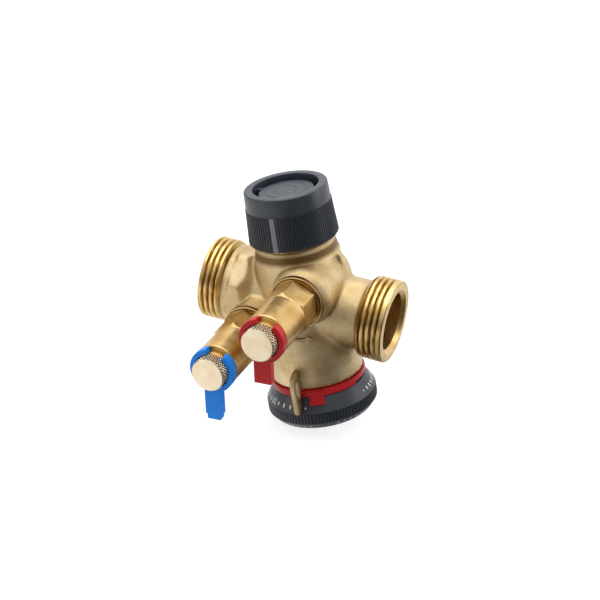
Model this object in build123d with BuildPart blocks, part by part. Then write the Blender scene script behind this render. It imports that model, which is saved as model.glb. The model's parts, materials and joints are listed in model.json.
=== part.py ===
from build123d import *
import math
import os

os.makedirs("parts", exist_ok=True)

# A pressure-independent regulating valve of cast brass for heating water.
# The pipe line is the X axis. The origin is the middle of the inlet port's face, and the outlet
# port looks out towards +X. The spindle line leans out of the upright towards the inlet and
# crosses the pipe line at the centre of the valve. Two test points look out towards -Y.
# All sizes are in millimetres and degrees.

# Driving sizes of the pipe line
lean_angle = 14.0            # lean of the spindle line, towards the inlet port
port_thread_radius = 16.62   # outside thread of both ports, one inch pipe thread
port_bore_radius = 11.5
inlet_end = 40.3             # length of the inlet arm from the valve's centre
outlet_end = 38.0            # length of the outlet arm from the valve's centre
inlet_thread_length = 9.7
outlet_thread_length = 11.2
port_chamfer = 0.9
port_mouth_depth = 1.5       # chamfer inside the port mouth
thread_relief = 1.4          # run-out behind the thread is this much below its crests

# Driving sizes of the casting, radii about the spindle line and heights along it
actuator_thread_radius = 15.0
collar_top = 36.0
neck_radius = 16.0
neck_top = 25.8
neck_foot = 21.2
shoulder_step = 0.9          # cast ledge at the foot of the neck
chest_radius = 17.5
chest_height = 14.0
waist_radius = 16.7
waist_height = -10.0
bell_radius = 18.57
bell_height = -23.0
bell_foot = -31.2
arm_radius = 14.0
inlet_neck_radius = 13.2
wrench_flats = 31.0          # across the flats of the cast octagon on the inlet arm
wrench_length = 9.3
inlet_collar_radius = 15.3
inlet_collar_length = 2.8
cast_round = 2.4             # round where the arms run into the housing

# Driving sizes of the chambers
upper_chamber_radius = 14.0
lower_chamber_radius = 14.5
chamber_top = 15.0
partition_top = 1.0
partition_foot = -2.0
insert_bore_radius = 9.0     # hole in the partition that holds the seat
head_bore_radius = 11.5
lower_thread_radius = 15.2
lower_thread_height = -20.5  # the lower chamber widens to the bonnet thread below this

# Named clearances
running_gap = 0.05           # radial gap of turning and sliding fits
seat_gap = 0.02              # gap between pieces of one body that are screwed or pushed together
clear_gap = 0.35             # gap between pieces that pass each other without touching

# Driving sizes of the head insert, stem and plug
head_seat = 33.0             # step in the collar that the insert's flange screws down on
head_flange_radius = 12.6
head_flange_height = 1.6
head_thread_foot = 24.0
head_foot = 13.0
head_body_radius = 9.4
head_hex_flats = 17.0
head_hex_height = 2.6
gland_radius = 4.2
gland_depth = 3.4
gland_flange_radius = 5.6
gland_flange_height = 1.3
stem_radius = 2.0
stem_tip = 40.4
stem_travel = 2.8
spring_chamber_radius = 5.6
spring_chamber_top = 28.0
spring_collar_radius = 4.9
spring_collar_height = 1.4
guide_height = 2.2
return_wire = 0.9
return_coil_radius = 4.3
return_turns = 5
plug_radius = 8.2
plug_height = 2.6
plug_seal_height = 1.6
plug_nut_radius = 3.4
plug_nut_height = 1.6
stem_shoulder_radius = 3.2
stem_shoulder_height = 0.8
seat_orifice_radius = 6.4
seat_flange_radius = 10.6
seat_flange_height = 1.2
seat_lip_radius = 7.4
seat_lip_height = 1.2
seat_ring_depth = 2.4        # part of the seat that stands below the partition
o_ring_wire = 1.5

# Driving sizes of the regulator and preset cartridge
cage_radius = 12.9
cage_wall = 1.6
cage_flange_radius = 15.1
cage_flange_height = 1.4
window_top = -9.0
window_foot = -14.0
window_count = 4
window_width = 9.0
window_turn = 45.0           # direction of the first window in the cage
preset_shift = 25.0          # turn of the sleeve's windows past the cage's
sleeve_wall = 1.1
sleeve_web = 1.5
plunger_wall = 1.2
plunger_skirt = 2.3
plunger_spoke_height = 1.4
plunger_spoke_width = 2.4
plunger_hub_radius = 4.7
preset_spindle_radius = 3.0
diaphragm_thickness = 0.8
diaphragm_hole_radius = 5.2
plate_radius = 8.6
plate_height = 1.2
roll_radius = 1.5            # the diaphragm's rolling fold
roll_middle = 10.6
regulator_wire = 1.2
regulator_coil_radius = 6.8
regulator_turns = 4

# Driving sizes of the lower bonnet, dial and locking ring
bonnet_flange_radius = 17.3
bonnet_flange_foot = -34.0
bonnet_pocket_radius = 12.4
bonnet_pocket_floor = -35.5
bonnet_barrel_radius = 14.2
bonnet_barrel_foot = -37.5
bonnet_hub_radius = 6.5
bonnet_hub_foot = -41.3
spindle_collar_radius = 4.2
spindle_collar_height = 1.2
dial_rim_height = -34.65
dial_rim_radius = 18.95
dial_radius = 22.55
dial_rib_top = -40.4
dial_rib_foot = -45.1
dial_foot = -47.8
dial_foot_radius = 20.7
dial_wall = 2.0
dial_plate = 2.0
dial_hub_top = -42.0
dial_rib_count = 100
dial_rib_depth = 0.45
dial_hub_radius = 5.2
square_flats = 4.2
screw_radius = 1.5
screw_length = 6.0
screw_head_radius = 3.2
screw_head_height = 1.7
screw_recess = 2.2
lock_ring_radius = 19.25
lock_ring_top = -31.5
lock_ring_foot = -33.6
lock_ring_deep_foot = -34.35
lock_tab_arc = 16.5
lock_tab_middle = -70.0      # direction of the tab, from the outlet side towards the viewer
lock_tab_foot = -37.0
lock_tab_thickness = 1.2

# Driving sizes of the seal lug on the casting
lug_width = 2.2
lug_direction = -90.0
lug_reach = 25.2
lug_foot = -39.6
lug_top = -22.3
lug_round = 1.2
lug_shoulder = 4.4           # height and depth of the arch at the lug's top
lug_gap = 0.5                # gap to the locking ring and the dial, which turn past the lug
lug_eye_width = 2.4          # hole for the seal wire
lug_eye_length = 7.0
lug_eye_middle = -29.2
lug_bar = 1.4                # wall outside the hole

# Driving sizes of the web on the shoulder over the outlet arm, X and Z of its corners
web_outline = ((11.0, 25.0), (13.2, 24.0), (15.4, 19.5), (17.2, 13.6), (12.0, 12.0))
web_thickness = 2.6

# Driving sizes of the cap over the actuator thread
cap_top = 49.0
cap_foot = 27.6
cap_top_radius = 16.56
cap_band_radius = 16.85
cap_band_foot = 41.7
cap_skirt_radius = 17.15
cap_foot_radius = 18.0
cap_ceiling = 41.4
cap_floor = 43.0             # bottom of the ring groove in the cap's top
cap_groove_outer = 13.1
cap_groove_inner = 11.0
cap_disc_top = 47.0
cap_bridge_width = 2.6
cap_bridge_turn = -7.0
cap_rib_count = 96
cap_rib_depth = 0.4
cap_bar_width = 2.0
cap_bar_direction = -90.0

# Driving sizes of the two test points, distances along -Y
inlet_point = (5.2, 11.2)    # X and Z of the test point that feels the inlet chamber
outlet_point = (-13.7, -6.5)
inlet_boss_face = 23.8
outlet_boss_face = 24.9
boss_radius = 9.5
boss_root_radius = 12.2
boss_rim = 1.4               # straight rim behind the boss face
boss_flare_length = 5.0
boss_back = 5.0              # the inlet boss runs this far behind the pipe line
outlet_boss_flats = 19.4
point_thread_radius = 6.58
point_thread_length = 8.5
point_drill_radius = 1.6
point_hex_flats = 17.0
point_hex_length = 12.2
point_barrel_radius = 8.86
point_barrel_length = 17.1
point_neck_radius = 6.8
point_neck_length = 1.8
point_nose_radius = 5.0
point_nose_length = 3.9
point_chamber_radius = 3.0
point_chamber_start = 20.0
point_bore_radius = 1.8
tip_cap_radius = 6.58
tip_cap_length = 5.3
tip_cap_face = 1.1
marker_radius = 9.05
marker_length = 3.5
marker_gap_arc = 50.0
marker_gap_middle = 84.0
marker_tab_width = 6.9
marker_tab_turn = 5.5        # the tabs hang a little off the upright
inlet_tab_reach = 17.8       # from the test point's centre line to the tab's end
outlet_tab_reach = 21.0
marker_tab_step = 2.1
marker_end_width = 5.6

# Planes and axes
lean = math.radians(lean_angle)
spindle_up = Vector(-math.sin(lean), 0, math.cos(lean))
spindle_side = Vector(math.cos(lean), 0, math.sin(lean))
centre = Vector(inlet_end, 0, 0)
spindle_line = Axis(centre, spindle_up)
section = Plane(origin=centre, x_dir=spindle_side, z_dir=(0, -1, 0))
pipe_section = Plane(origin=centre, x_dir=(1, 0, 0), z_dir=(0, -1, 0))


def across_pipe(distance):
    """The plane square to the pipe line, at a distance from the centre towards the outlet."""
    return Plane(origin=centre + Vector(distance, 0, 0), x_dir=(0, 1, 0), z_dir=(1, 0, 0))


def front(distance):
    """The upright plane that faces -Y, at a distance in front of the centre. It holds X and Z."""
    return Plane(origin=centre - Vector(0, distance, 0), x_dir=(1, 0, 0), z_dir=(0, -1, 0))


def radius_towards(turn):
    """The direction square to the spindle line, turned about it from the outlet side."""
    return spindle_side * math.cos(math.radians(turn)) + Vector(0, 1, 0) * math.sin(math.radians(turn))


def level(height, turn=0.0):
    """The plane square to the spindle line at a height, turned about it."""
    return Plane(origin=centre + spindle_up * height, x_dir=radius_towards(turn), z_dir=spindle_up)


def section_at(turn):
    """The plane that holds the spindle line, turned about it: X is the radius, Y the height."""
    across = radius_towards(turn)
    return Plane(origin=centre, x_dir=across, z_dir=across.cross(spindle_up))


def facing(turn, distance):
    """The plane square to a radius of the spindle line, at a distance from it. Its Y runs up the line."""
    across = radius_towards(turn)
    return Plane(origin=centre + across * distance, x_dir=spindle_up.cross(across), z_dir=across)


def save(piece, name):
    """Labels a finished piece and writes it."""
    piece.part.label = name
    export_step(piece.part, "parts/" + name + ".step")


# The cast octagon of the inlet arm lies between its collar and its neck
neck_overlap = 1.0
wrench_outer = inlet_end - inlet_thread_length - inlet_collar_length
wrench_inner = wrench_outer - wrench_length
wrench_corner = wrench_flats / 2 / math.cos(math.pi / 8)

# The water ways that are cut into the casting.
# The inlet way stays above the partition, the outlet way below it, so that water crosses the seat.
inlet_way_start = wrench_inner + neck_overlap
outlet_way_start = 17.0

with BuildPart() as inlet_way:
    with BuildSketch(across_pipe(-inlet_way_start)):
        Circle(port_bore_radius)
    extrude(amount=inlet_way_start)
    split(bisect_by=level(partition_top), keep=Keep.TOP)

with BuildPart() as outlet_way:
    with BuildSketch(across_pipe(0)):
        Circle(port_bore_radius)
    extrude(amount=outlet_way_start)
    split(bisect_by=level(partition_foot), keep=Keep.BOTTOM)

# The octagon's corners are turned off towards the housing
with BuildPart() as wrench_octagon:
    with BuildSketch(across_pipe(-wrench_outer)):
        RegularPolygon(wrench_flats / 2, 8, major_radius=False, rotation=22.5)
    extrude(amount=wrench_length)
    with BuildSketch(pipe_section):
        with BuildLine():
            Polyline(
                (-wrench_outer, 0),
                (-wrench_outer, wrench_corner - 0.6),
                (-wrench_outer + 0.8, wrench_corner + 0.2),
                (-wrench_inner - 5.5, wrench_corner + 0.2),
                (-wrench_inner, inlet_neck_radius),
                (-wrench_inner, 0),
                close=True,
            )
        make_face()
    revolve(axis=Axis.X, mode=Mode.INTERSECT)

# The valve body is one brass casting: housing, two port arms, two bosses, a web and the seal lug.
port_root_radius = port_thread_radius - thread_relief
inlet_x, inlet_z = inlet_point
outlet_x, outlet_z = outlet_point
inlet_boss_plane = Plane(origin=centre + Vector(inlet_x, 0, inlet_z), x_dir=(1, 0, 0), z_dir=(0, 0, 1))
inlet_boss_line = Axis(centre + Vector(inlet_x, 0, inlet_z), (0, 1, 0))
shoulder_edge = (neck_radius + shoulder_step, neck_foot - 0.7 * shoulder_step)
cone_slope = (dial_radius - 0.1 - dial_rim_radius) / (dial_rim_height - dial_rib_top)
lug_foot_inner = dial_rim_radius + cone_slope * (dial_rim_height - lug_foot) + lug_gap
lug_ring_inner = lock_ring_radius + lug_gap
lug_eye_radius = lug_reach - lug_bar - lug_eye_width / 2

with BuildPart() as valve_body:
    with BuildSketch(section):
        with BuildLine():
            Polyline(
                (0, bell_foot),
                (0, collar_top),
                (actuator_thread_radius - port_chamfer, collar_top),
                (actuator_thread_radius, collar_top - port_chamfer),
                (actuator_thread_radius, neck_top),
                (neck_radius - 0.4, neck_top),
                (neck_radius, neck_top - 0.4),
                (neck_radius, neck_foot),
                shoulder_edge,
            )
            Spline(
                shoulder_edge,
                (chest_radius, chest_height),
                (waist_radius, waist_height),
                (bell_radius, bell_height),
                tangents=((0.25, -1), (0, -1)),
            )
            Polyline((bell_radius, bell_height), (bell_radius, bell_foot), (0, bell_foot))
        make_face()
    revolve(axis=spindle_line)
    # the outlet arm runs into the housing with a cast round
    with BuildSketch(across_pipe(0)):
        Circle(arm_radius)
    extrude(amount=outlet_end - outlet_thread_length)
    fillet(valve_body.edges(Select.NEW).filter_by(GeomType.BSPLINE), cast_round)
    # the inlet arm: neck, octagon for a wrench and collar
    with BuildSketch(across_pipe(-inlet_way_start)):
        Circle(inlet_neck_radius)
    extrude(amount=inlet_way_start)
    add(wrench_octagon.part)
    with BuildSketch(across_pipe(-wrench_outer - inlet_collar_length)):
        Circle(inlet_collar_radius)
    extrude(amount=inlet_collar_length)
    # threaded ends of both arms, with a run-in and a chamfered mouth
    for side, end, length in ((-1, inlet_end, inlet_thread_length), (1, outlet_end, outlet_thread_length)):
        with BuildSketch(pipe_section):
            with BuildLine():
                Polyline(
                    (side * (end - length), 0),
                    (side * (end - length), port_root_radius),
                    (side * (end - length + thread_relief), port_thread_radius),
                    (side * (end - port_chamfer), port_thread_radius),
                    (side * end, port_thread_radius - port_chamfer),
                    (side * end, 0),
                    close=True,
                )
            make_face()
        revolve(axis=Axis.X)
    # the inlet boss flares back into the housing and shows on the far side too
    with BuildSketch(inlet_boss_plane):
        with BuildLine():
            Polyline(
                (0, -inlet_boss_face),
                (boss_radius - 0.5, -inlet_boss_face),
                (boss_radius, -inlet_boss_face + 0.5),
                (boss_radius, -inlet_boss_face + boss_rim),
            )
            Spline(
                (boss_radius, -inlet_boss_face + boss_rim),
                (boss_root_radius, -inlet_boss_face + boss_rim + boss_flare_length),
                tangents=((0.6, 1), (0, 1)),
            )
            Polyline(
                (boss_root_radius, -inlet_boss_face + boss_rim + boss_flare_length),
                (boss_root_radius, boss_back),
                (boss_radius, boss_back + boss_flare_length),
                (0, boss_back + boss_flare_length),
                (0, -inlet_boss_face),
            )
        make_face()
    revolve(axis=inlet_boss_line)
    # the outlet boss is an octagon with a round face
    with BuildSketch(front(outlet_boss_face - boss_rim)):
        with Locations((outlet_x, outlet_z)):
            RegularPolygon(outlet_boss_flats / 2, 8, major_radius=False, rotation=22.5)
    extrude(amount=boss_rim - outlet_boss_face)
    with BuildSketch(front(outlet_boss_face)):
        with Locations((outlet_x, outlet_z)):
            Circle(boss_radius)
    extrude(amount=-boss_rim)
    # the seal lug is a thin eye that stands off the bell and reaches down past the dial's scale
    with BuildSketch(section_at(lug_direction)):
        with BuildLine():
            TangentArc(
                (lug_reach - lug_shoulder, lug_top),
                (lug_reach, lug_top - lug_shoulder),
                tangent=(1, 0),
            )
            Polyline(
                (lug_reach, lug_top - lug_shoulder),
                (lug_reach, lug_foot + lug_round),
                (lug_reach - lug_round, lug_foot),
                (lug_foot_inner, lug_foot),
                (lug_ring_inner, lock_ring_deep_foot),
                (lug_ring_inner, bell_foot),
                (bell_radius - 1.5, bell_foot),
                (bell_radius - 1.5, lug_top),
                (lug_reach - lug_shoulder, lug_top),
            )
        make_face()
        with Locations((lug_eye_radius, lug_eye_middle)):
            SlotOverall(lug_eye_length, lug_eye_width, rotation=90, mode=Mode.SUBTRACT)
    extrude(amount=lug_width / 2, both=True)
    # a web stands in the parting plane of the casting, on the shoulder over the outlet arm
    with BuildSketch(pipe_section):
        Polygon(*web_outline, align=None)
    extrude(amount=web_thickness / 2, both=True)
    # chambers and the partition between them
    with BuildSketch(level(partition_top)):
        Circle(upper_chamber_radius)
    extrude(amount=chamber_top - partition_top, mode=Mode.SUBTRACT)
    with BuildSketch(level(partition_foot)):
        Circle(insert_bore_radius)
    extrude(amount=partition_top - partition_foot, mode=Mode.SUBTRACT)
    with BuildSketch(level(lower_thread_height)):
        Circle(lower_chamber_radius)
    extrude(amount=partition_foot - lower_thread_height, mode=Mode.SUBTRACT)
    with BuildSketch(level(bell_foot)):
        Circle(lower_thread_radius)
    extrude(amount=lower_thread_height - bell_foot, mode=Mode.SUBTRACT)
    # bore for the head insert, with the step that its flange sits on
    with BuildSketch(level(chamber_top)):
        Circle(head_bore_radius)
    extrude(amount=collar_top - chamber_top, mode=Mode.SUBTRACT)
    with BuildSketch(level(head_seat)):
        Circle(head_flange_radius + running_gap)
    extrude(amount=collar_top - head_seat, mode=Mode.SUBTRACT)
    # port bores, their mouths and the ways to the chambers
    for side, end, start in ((-1, inlet_end, inlet_way_start), (1, outlet_end, outlet_way_start)):
        with BuildSketch(pipe_section):
            with BuildLine():
                Polyline(
                    (side * start, 0),
                    (side * start, port_bore_radius),
                    (side * (end - port_mouth_depth), port_bore_radius),
                    (side * end, port_bore_radius + port_mouth_depth),
                    (side * end, 0),
                    close=True,
                )
            make_face()
        revolve(axis=Axis.X, mode=Mode.SUBTRACT)
    add(inlet_way.part, mode=Mode.SUBTRACT)
    add(outlet_way.part, mode=Mode.SUBTRACT)
    # threaded holes for the test points and the drillings that feel the pressure
    for (x, z), face in ((inlet_point, inlet_boss_face), (outlet_point, outlet_boss_face)):
        with BuildSketch(front(face)):
            with Locations((x, z)):
                Circle(point_thread_radius + seat_gap)
        extrude(amount=-point_thread_length - 0.4, mode=Mode.SUBTRACT)
        with BuildSketch(front(face - point_thread_length)):
            with Locations((x, z)):
                Circle(point_drill_radius)
        extrude(amount=-(face - point_thread_length), mode=Mode.SUBTRACT)

save(valve_body, "valve_body")

# O-rings are round in section and lie in turned grooves.
o_ring_inset = o_ring_wire / 2 + seat_gap


def o_ring(outer_radius, height, name):
    """An O-ring about the spindle line whose outside touches a bore of the given radius."""
    with BuildPart() as ring:
        with BuildSketch(section):
            with Locations((outer_radius - o_ring_inset, height)):
                Circle(o_ring_wire / 2)
        revolve(axis=spindle_line)
    save(ring, name)


# The seat is a turned ring pushed into the partition, with a raised lip round the opening.
seat_top = partition_top + seat_gap + seat_flange_height
seat_lip = seat_top + seat_lip_height
seat_foot = partition_foot - seat_ring_depth
seat_groove_middle = (partition_top + partition_foot) / 2
groove_half = o_ring_wire / 2 + 0.15
groove_depth = o_ring_wire + 0.05

with BuildPart() as seat_insert:
    with BuildSketch(section):
        with BuildLine():
            Polyline(
                (seat_orifice_radius, seat_foot),
                (insert_bore_radius - seat_gap, seat_foot),
                (insert_bore_radius - seat_gap, partition_top + seat_gap),
                (seat_flange_radius, partition_top + seat_gap),
                (seat_flange_radius, seat_top),
                (seat_lip_radius, seat_top),
                (seat_lip_radius - 0.4, seat_lip),
                (seat_orifice_radius, seat_lip),
                close=True,
            )
        make_face()
        with Locations((insert_bore_radius - groove_depth / 2, seat_groove_middle)):
            Rectangle(groove_depth, 2 * groove_half, mode=Mode.SUBTRACT)
    revolve(axis=spindle_line)

save(seat_insert, "seat_insert")
o_ring(insert_bore_radius, seat_groove_middle, "seat_o_ring")

# The plug closes on the seat with a flat rubber face. The stem carries it.
plug_face = seat_lip + stem_travel + clear_gap
plug_foot = plug_face + plug_seal_height
plug_top = plug_foot + plug_height

with BuildPart() as plug_seal:
    with BuildSketch(level(plug_face)):
        Circle(plug_radius - 0.6)
        Circle(stem_radius + seat_gap, mode=Mode.SUBTRACT)
    extrude(amount=plug_seal_height - seat_gap)

save(plug_seal, "plug_seal")

with BuildPart() as valve_plug:
    with BuildSketch(section):
        with BuildLine():
            Polyline(
                (stem_radius + seat_gap, plug_foot),
                (plug_radius - 0.6 + seat_gap, plug_foot),
                (plug_radius - 0.6 + seat_gap, plug_face + 0.7),
                (plug_radius, plug_face + 0.9),
                (plug_radius, plug_top - 1.2),
                (stem_shoulder_radius + 1.2, plug_top),
                (stem_radius + seat_gap, plug_top),
                close=True,
            )
        make_face()
    revolve(axis=spindle_line)

save(valve_plug, "valve_plug")

with BuildPart() as plug_nut:
    with BuildSketch(level(plug_face - seat_gap - plug_nut_height)):
        RegularPolygon(plug_nut_radius, 6)
        Circle(stem_radius + seat_gap, mode=Mode.SUBTRACT)
    extrude(amount=plug_nut_height)

save(plug_nut, "plug_nut")

# The stem is one turned rod: a shoulder over the plug and a collar for the return spring.
stem_foot = plug_face - plug_nut_height - 0.8
collar_foot = spring_chamber_top - clear_gap - spring_collar_height

with BuildPart() as stem:
    with BuildSketch(section):
        with BuildLine():
            Polyline(
                (0, stem_foot),
                (stem_radius - 0.4, stem_foot),
                (stem_radius, stem_foot + 0.4),
                (stem_radius, plug_top + seat_gap),
                (stem_shoulder_radius, plug_top + seat_gap),
                (stem_shoulder_radius, plug_top + stem_shoulder_height),
                (stem_radius, plug_top + stem_shoulder_height),
                (stem_radius, collar_foot),
                (spring_collar_radius, collar_foot),
                (spring_collar_radius, collar_foot + spring_collar_height),
                (stem_radius, collar_foot + spring_collar_height),
                (stem_radius, stem_tip - 0.8),
                (stem_radius - 0.8, stem_tip),
                (0, stem_tip),
                close=True,
            )
        make_face()
    revolve(axis=spindle_line)

save(stem, "stem")

# The head insert screws down into the collar and guides the stem.
head_top = head_seat + head_flange_height
head_hex_top = head_top + head_hex_height
head_groove_middle = head_thread_foot + groove_half + 0.5
stem_groove_middle = spring_chamber_top + 1.4
gland_foot = head_hex_top - gland_depth

with BuildPart() as head_insert:
    with BuildSketch(section):
        with BuildLine():
            Polyline(
                (stem_radius + running_gap, head_foot),
                (head_body_radius - 0.8, head_foot),
                (head_body_radius, head_foot + 0.8),
                (head_body_radius, head_thread_foot),
                (head_bore_radius - seat_gap, head_thread_foot),
                (head_bore_radius - seat_gap, head_seat + seat_gap),
                (head_flange_radius, head_seat + seat_gap),
                (head_flange_radius, head_top),
                (stem_radius + running_gap, head_top),
                close=True,
            )
        make_face()
        with Locations((head_bore_radius - groove_depth / 2, head_groove_middle)):
            Rectangle(groove_depth, 2 * groove_half, mode=Mode.SUBTRACT)
    revolve(axis=spindle_line)
    with BuildSketch(level(head_top)):
        RegularPolygon(head_hex_flats / 2, 6, major_radius=False)
    extrude(amount=head_hex_height)
    with BuildSketch(level(head_foot)):
        Circle(spring_chamber_radius)
    extrude(amount=spring_chamber_top - head_foot, mode=Mode.SUBTRACT)
    with BuildSketch(level(spring_chamber_top)):
        Circle(stem_radius + running_gap)
    extrude(amount=head_hex_top - spring_chamber_top, mode=Mode.SUBTRACT)
    with BuildSketch(level(gland_foot)):
        Circle(gland_radius + seat_gap)
    extrude(amount=gland_depth, mode=Mode.SUBTRACT)
    with BuildSketch(level(stem_groove_middle - groove_half)):
        Circle(stem_radius + groove_depth)
    extrude(amount=2 * groove_half, mode=Mode.SUBTRACT)

save(head_insert, "head_insert")
o_ring(head_bore_radius, head_groove_middle, "head_o_ring")
o_ring(stem_radius + o_ring_wire + 2 * seat_gap, stem_groove_middle, "stem_o_ring")

with BuildPart() as stem_gland:
    with BuildSketch(section):
        with BuildLine():
            Polyline(
                (stem_radius + running_gap, gland_foot + seat_gap),
                (gland_radius, gland_foot + seat_gap),
                (gland_radius, head_hex_top + seat_gap),
                (gland_flange_radius, head_hex_top + seat_gap),
                (gland_flange_radius, head_hex_top + gland_flange_height - 0.3),
                (gland_flange_radius - 0.3, head_hex_top + gland_flange_height),
                (stem_radius + running_gap, head_hex_top + gland_flange_height),
                close=True,
            )
        make_face()
    revolve(axis=spindle_line)

save(stem_gland, "stem_gland")

with BuildPart() as stem_guide:
    with BuildSketch(level(head_foot)):
        Circle(spring_chamber_radius - seat_gap)
        Circle(stem_radius + running_gap, mode=Mode.SUBTRACT)
    extrude(amount=guide_height)

save(stem_guide, "stem_guide")


def coil_spring(foot, top, coil_radius, wire, turns, name):
    """A round-wire spring that stands between two heights on the spindle line."""
    rise = top - foot - wire
    with BuildPart() as spring:
        with BuildLine() as wire_line:
            Helix(rise / turns, rise, coil_radius, center=level(foot + wire / 2).origin, direction=spindle_up)
        with BuildSketch(Plane(origin=wire_line.line @ 0, z_dir=wire_line.line % 0)):
            RegularPolygon(wire / 2, 8)
        sweep(is_frenet=True)
    save(spring, name)


coil_spring(
    head_foot + guide_height + seat_gap,
    collar_foot - seat_gap,
    return_coil_radius,
    return_wire,
    return_turns,
    "return_spring",
)

# The cage holds the regulator in the lower chamber. Its windows let the water out.
cage_top = partition_foot - seat_gap
cage_bore = cage_radius - cage_wall
cage_flange_top = lower_thread_height - seat_gap
cage_foot = cage_flange_top - cage_flange_height
window_height = window_top - window_foot
window_middle = (window_top + window_foot) / 2


def window_planes(first, distance):
    """The planes that look at the windows of a sleeve or cage, one for each window."""
    return [facing(first + k * 360 / window_count, distance) for k in range(window_count)]


with BuildPart() as regulator_cage:
    with BuildSketch(section):
        with BuildLine():
            Polyline(
                (cage_bore, cage_foot),
                (cage_flange_radius, cage_foot),
                (cage_flange_radius, cage_flange_top),
                (cage_radius, cage_flange_top),
                (cage_radius, cage_top),
                (insert_bore_radius + 0.1, cage_top),
                (insert_bore_radius + 0.1, cage_top - 0.9),
                (cage_bore, cage_top - 0.9),
                close=True,
            )
        make_face()
    revolve(axis=spindle_line)
    with BuildSketch(*window_planes(window_turn, cage_radius + 1)):
        with Locations((0, window_middle)):
            Rectangle(window_width, window_height)
    extrude(amount=-(cage_wall + 2), mode=Mode.SUBTRACT)

save(regulator_cage, "regulator_cage")

# The preset sleeve turns inside the cage with the dial and opens its windows more or less.
sleeve_radius = cage_bore - running_gap
sleeve_bore = sleeve_radius - sleeve_wall
sleeve_top = seat_foot - clear_gap
sleeve_web_foot = sleeve_top - sleeve_web
sleeve_foot = window_foot - 1.5

with BuildPart() as preset_sleeve:
    with BuildSketch(level(sleeve_foot)):
        Circle(sleeve_radius)
        Circle(sleeve_bore, mode=Mode.SUBTRACT)
    extrude(amount=sleeve_top - sleeve_foot)
    with BuildSketch(level(sleeve_web_foot)):
        Circle(plunger_hub_radius)
        with PolarLocations(sleeve_bore / 2 + 1, window_count):
            Rectangle(sleeve_bore - 1.5, plunger_spoke_width)
        Circle(preset_spindle_radius + seat_gap, mode=Mode.SUBTRACT)
    extrude(amount=sleeve_web)
    with BuildSketch(*window_planes(window_turn + preset_shift, sleeve_radius + 1)):
        with Locations((0, window_middle)):
            Rectangle(window_width, window_height)
    extrude(amount=-(sleeve_wall + 2), mode=Mode.SUBTRACT)

save(preset_sleeve, "preset_sleeve")

# The regulator plunger slides inside the sleeve and throttles the same windows.
plunger_radius = sleeve_bore - running_gap
plunger_top = sleeve_web_foot - clear_gap
plunger_bore = preset_spindle_radius + running_gap
flange_foot = cage_foot - seat_gap
diaphragm_foot = flange_foot - diaphragm_thickness
plunger_foot = diaphragm_foot - seat_gap - plate_height - 0.6

with BuildPart() as regulator_plunger:
    with BuildSketch(section):
        with BuildLine():
            Polyline(
                (plunger_bore, plunger_foot),
                (diaphragm_hole_radius - seat_gap, plunger_foot),
                (diaphragm_hole_radius - seat_gap, flange_foot + seat_gap),
                (plate_radius, flange_foot + seat_gap),
                (plate_radius, flange_foot + seat_gap + plate_height),
                (plunger_hub_radius, flange_foot + 2 * plate_height),
                (plunger_hub_radius, plunger_top),
                (plunger_bore, plunger_top),
                close=True,
            )
        make_face()
    revolve(axis=spindle_line)
    with BuildSketch(level(plunger_top - plunger_skirt)):
        Circle(plunger_radius)
        Circle(plunger_radius - plunger_wall, mode=Mode.SUBTRACT)
    extrude(amount=plunger_skirt)
    with BuildSketch(level(plunger_top - plunger_spoke_height)):
        with PolarLocations((plunger_radius + plunger_hub_radius) / 2 - 0.3, window_count):
            Rectangle(plunger_radius - plunger_hub_radius, plunger_spoke_width)
    extrude(amount=plunger_spoke_height)

save(regulator_plunger, "regulator_plunger")

# The diaphragm is a rubber sheet with a rolling fold, clamped at its rim and at its hole.
with BuildPart() as diaphragm:
    with BuildSketch(section):
        with BuildLine():
            Polyline(
                (diaphragm_hole_radius, diaphragm_foot),
                (roll_middle - roll_radius, diaphragm_foot),
                (roll_middle - roll_radius, flange_foot),
                (diaphragm_hole_radius, flange_foot),
                close=True,
            )
        make_face()
        with BuildLine():
            Polyline(
                (roll_middle + roll_radius, diaphragm_foot),
                (cage_flange_radius, diaphragm_foot),
                (cage_flange_radius, flange_foot),
                (roll_middle + roll_radius, flange_foot),
                close=True,
            )
        make_face()
        with Locations((roll_middle, diaphragm_foot)):
            Circle(roll_radius + 0.02)
        with Locations((roll_middle, diaphragm_foot)):
            Circle(roll_radius - diaphragm_thickness, mode=Mode.SUBTRACT)
        with Locations((roll_middle, diaphragm_foot + roll_radius)):
            Rectangle(2 * (roll_radius - diaphragm_thickness), 2 * roll_radius, mode=Mode.SUBTRACT)
        with Locations((roll_middle, flange_foot + roll_radius)):
            Rectangle(4 * roll_radius, 2 * roll_radius, mode=Mode.SUBTRACT)
    revolve(axis=spindle_line)

save(diaphragm, "diaphragm")

plate_top = diaphragm_foot - seat_gap
with BuildPart() as diaphragm_plate:
    with BuildSketch(level(plate_top - plate_height)):
        Circle(plate_radius)
        Circle(diaphragm_hole_radius, mode=Mode.SUBTRACT)
    extrude(amount=plate_height)

save(diaphragm_plate, "diaphragm_plate")

coil_spring(
    bonnet_pocket_floor + seat_gap,
    plate_top - plate_height - seat_gap,
    regulator_coil_radius,
    regulator_wire,
    regulator_turns,
    "regulator_spring",
)

# The lower bonnet screws into the bell, clamps the diaphragm and carries the dial.
bonnet_top = diaphragm_foot - seat_gap
bonnet_groove_middle = bonnet_top - groove_half - 1.0
hub_groove_middle = bonnet_pocket_floor - 2.6

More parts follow.
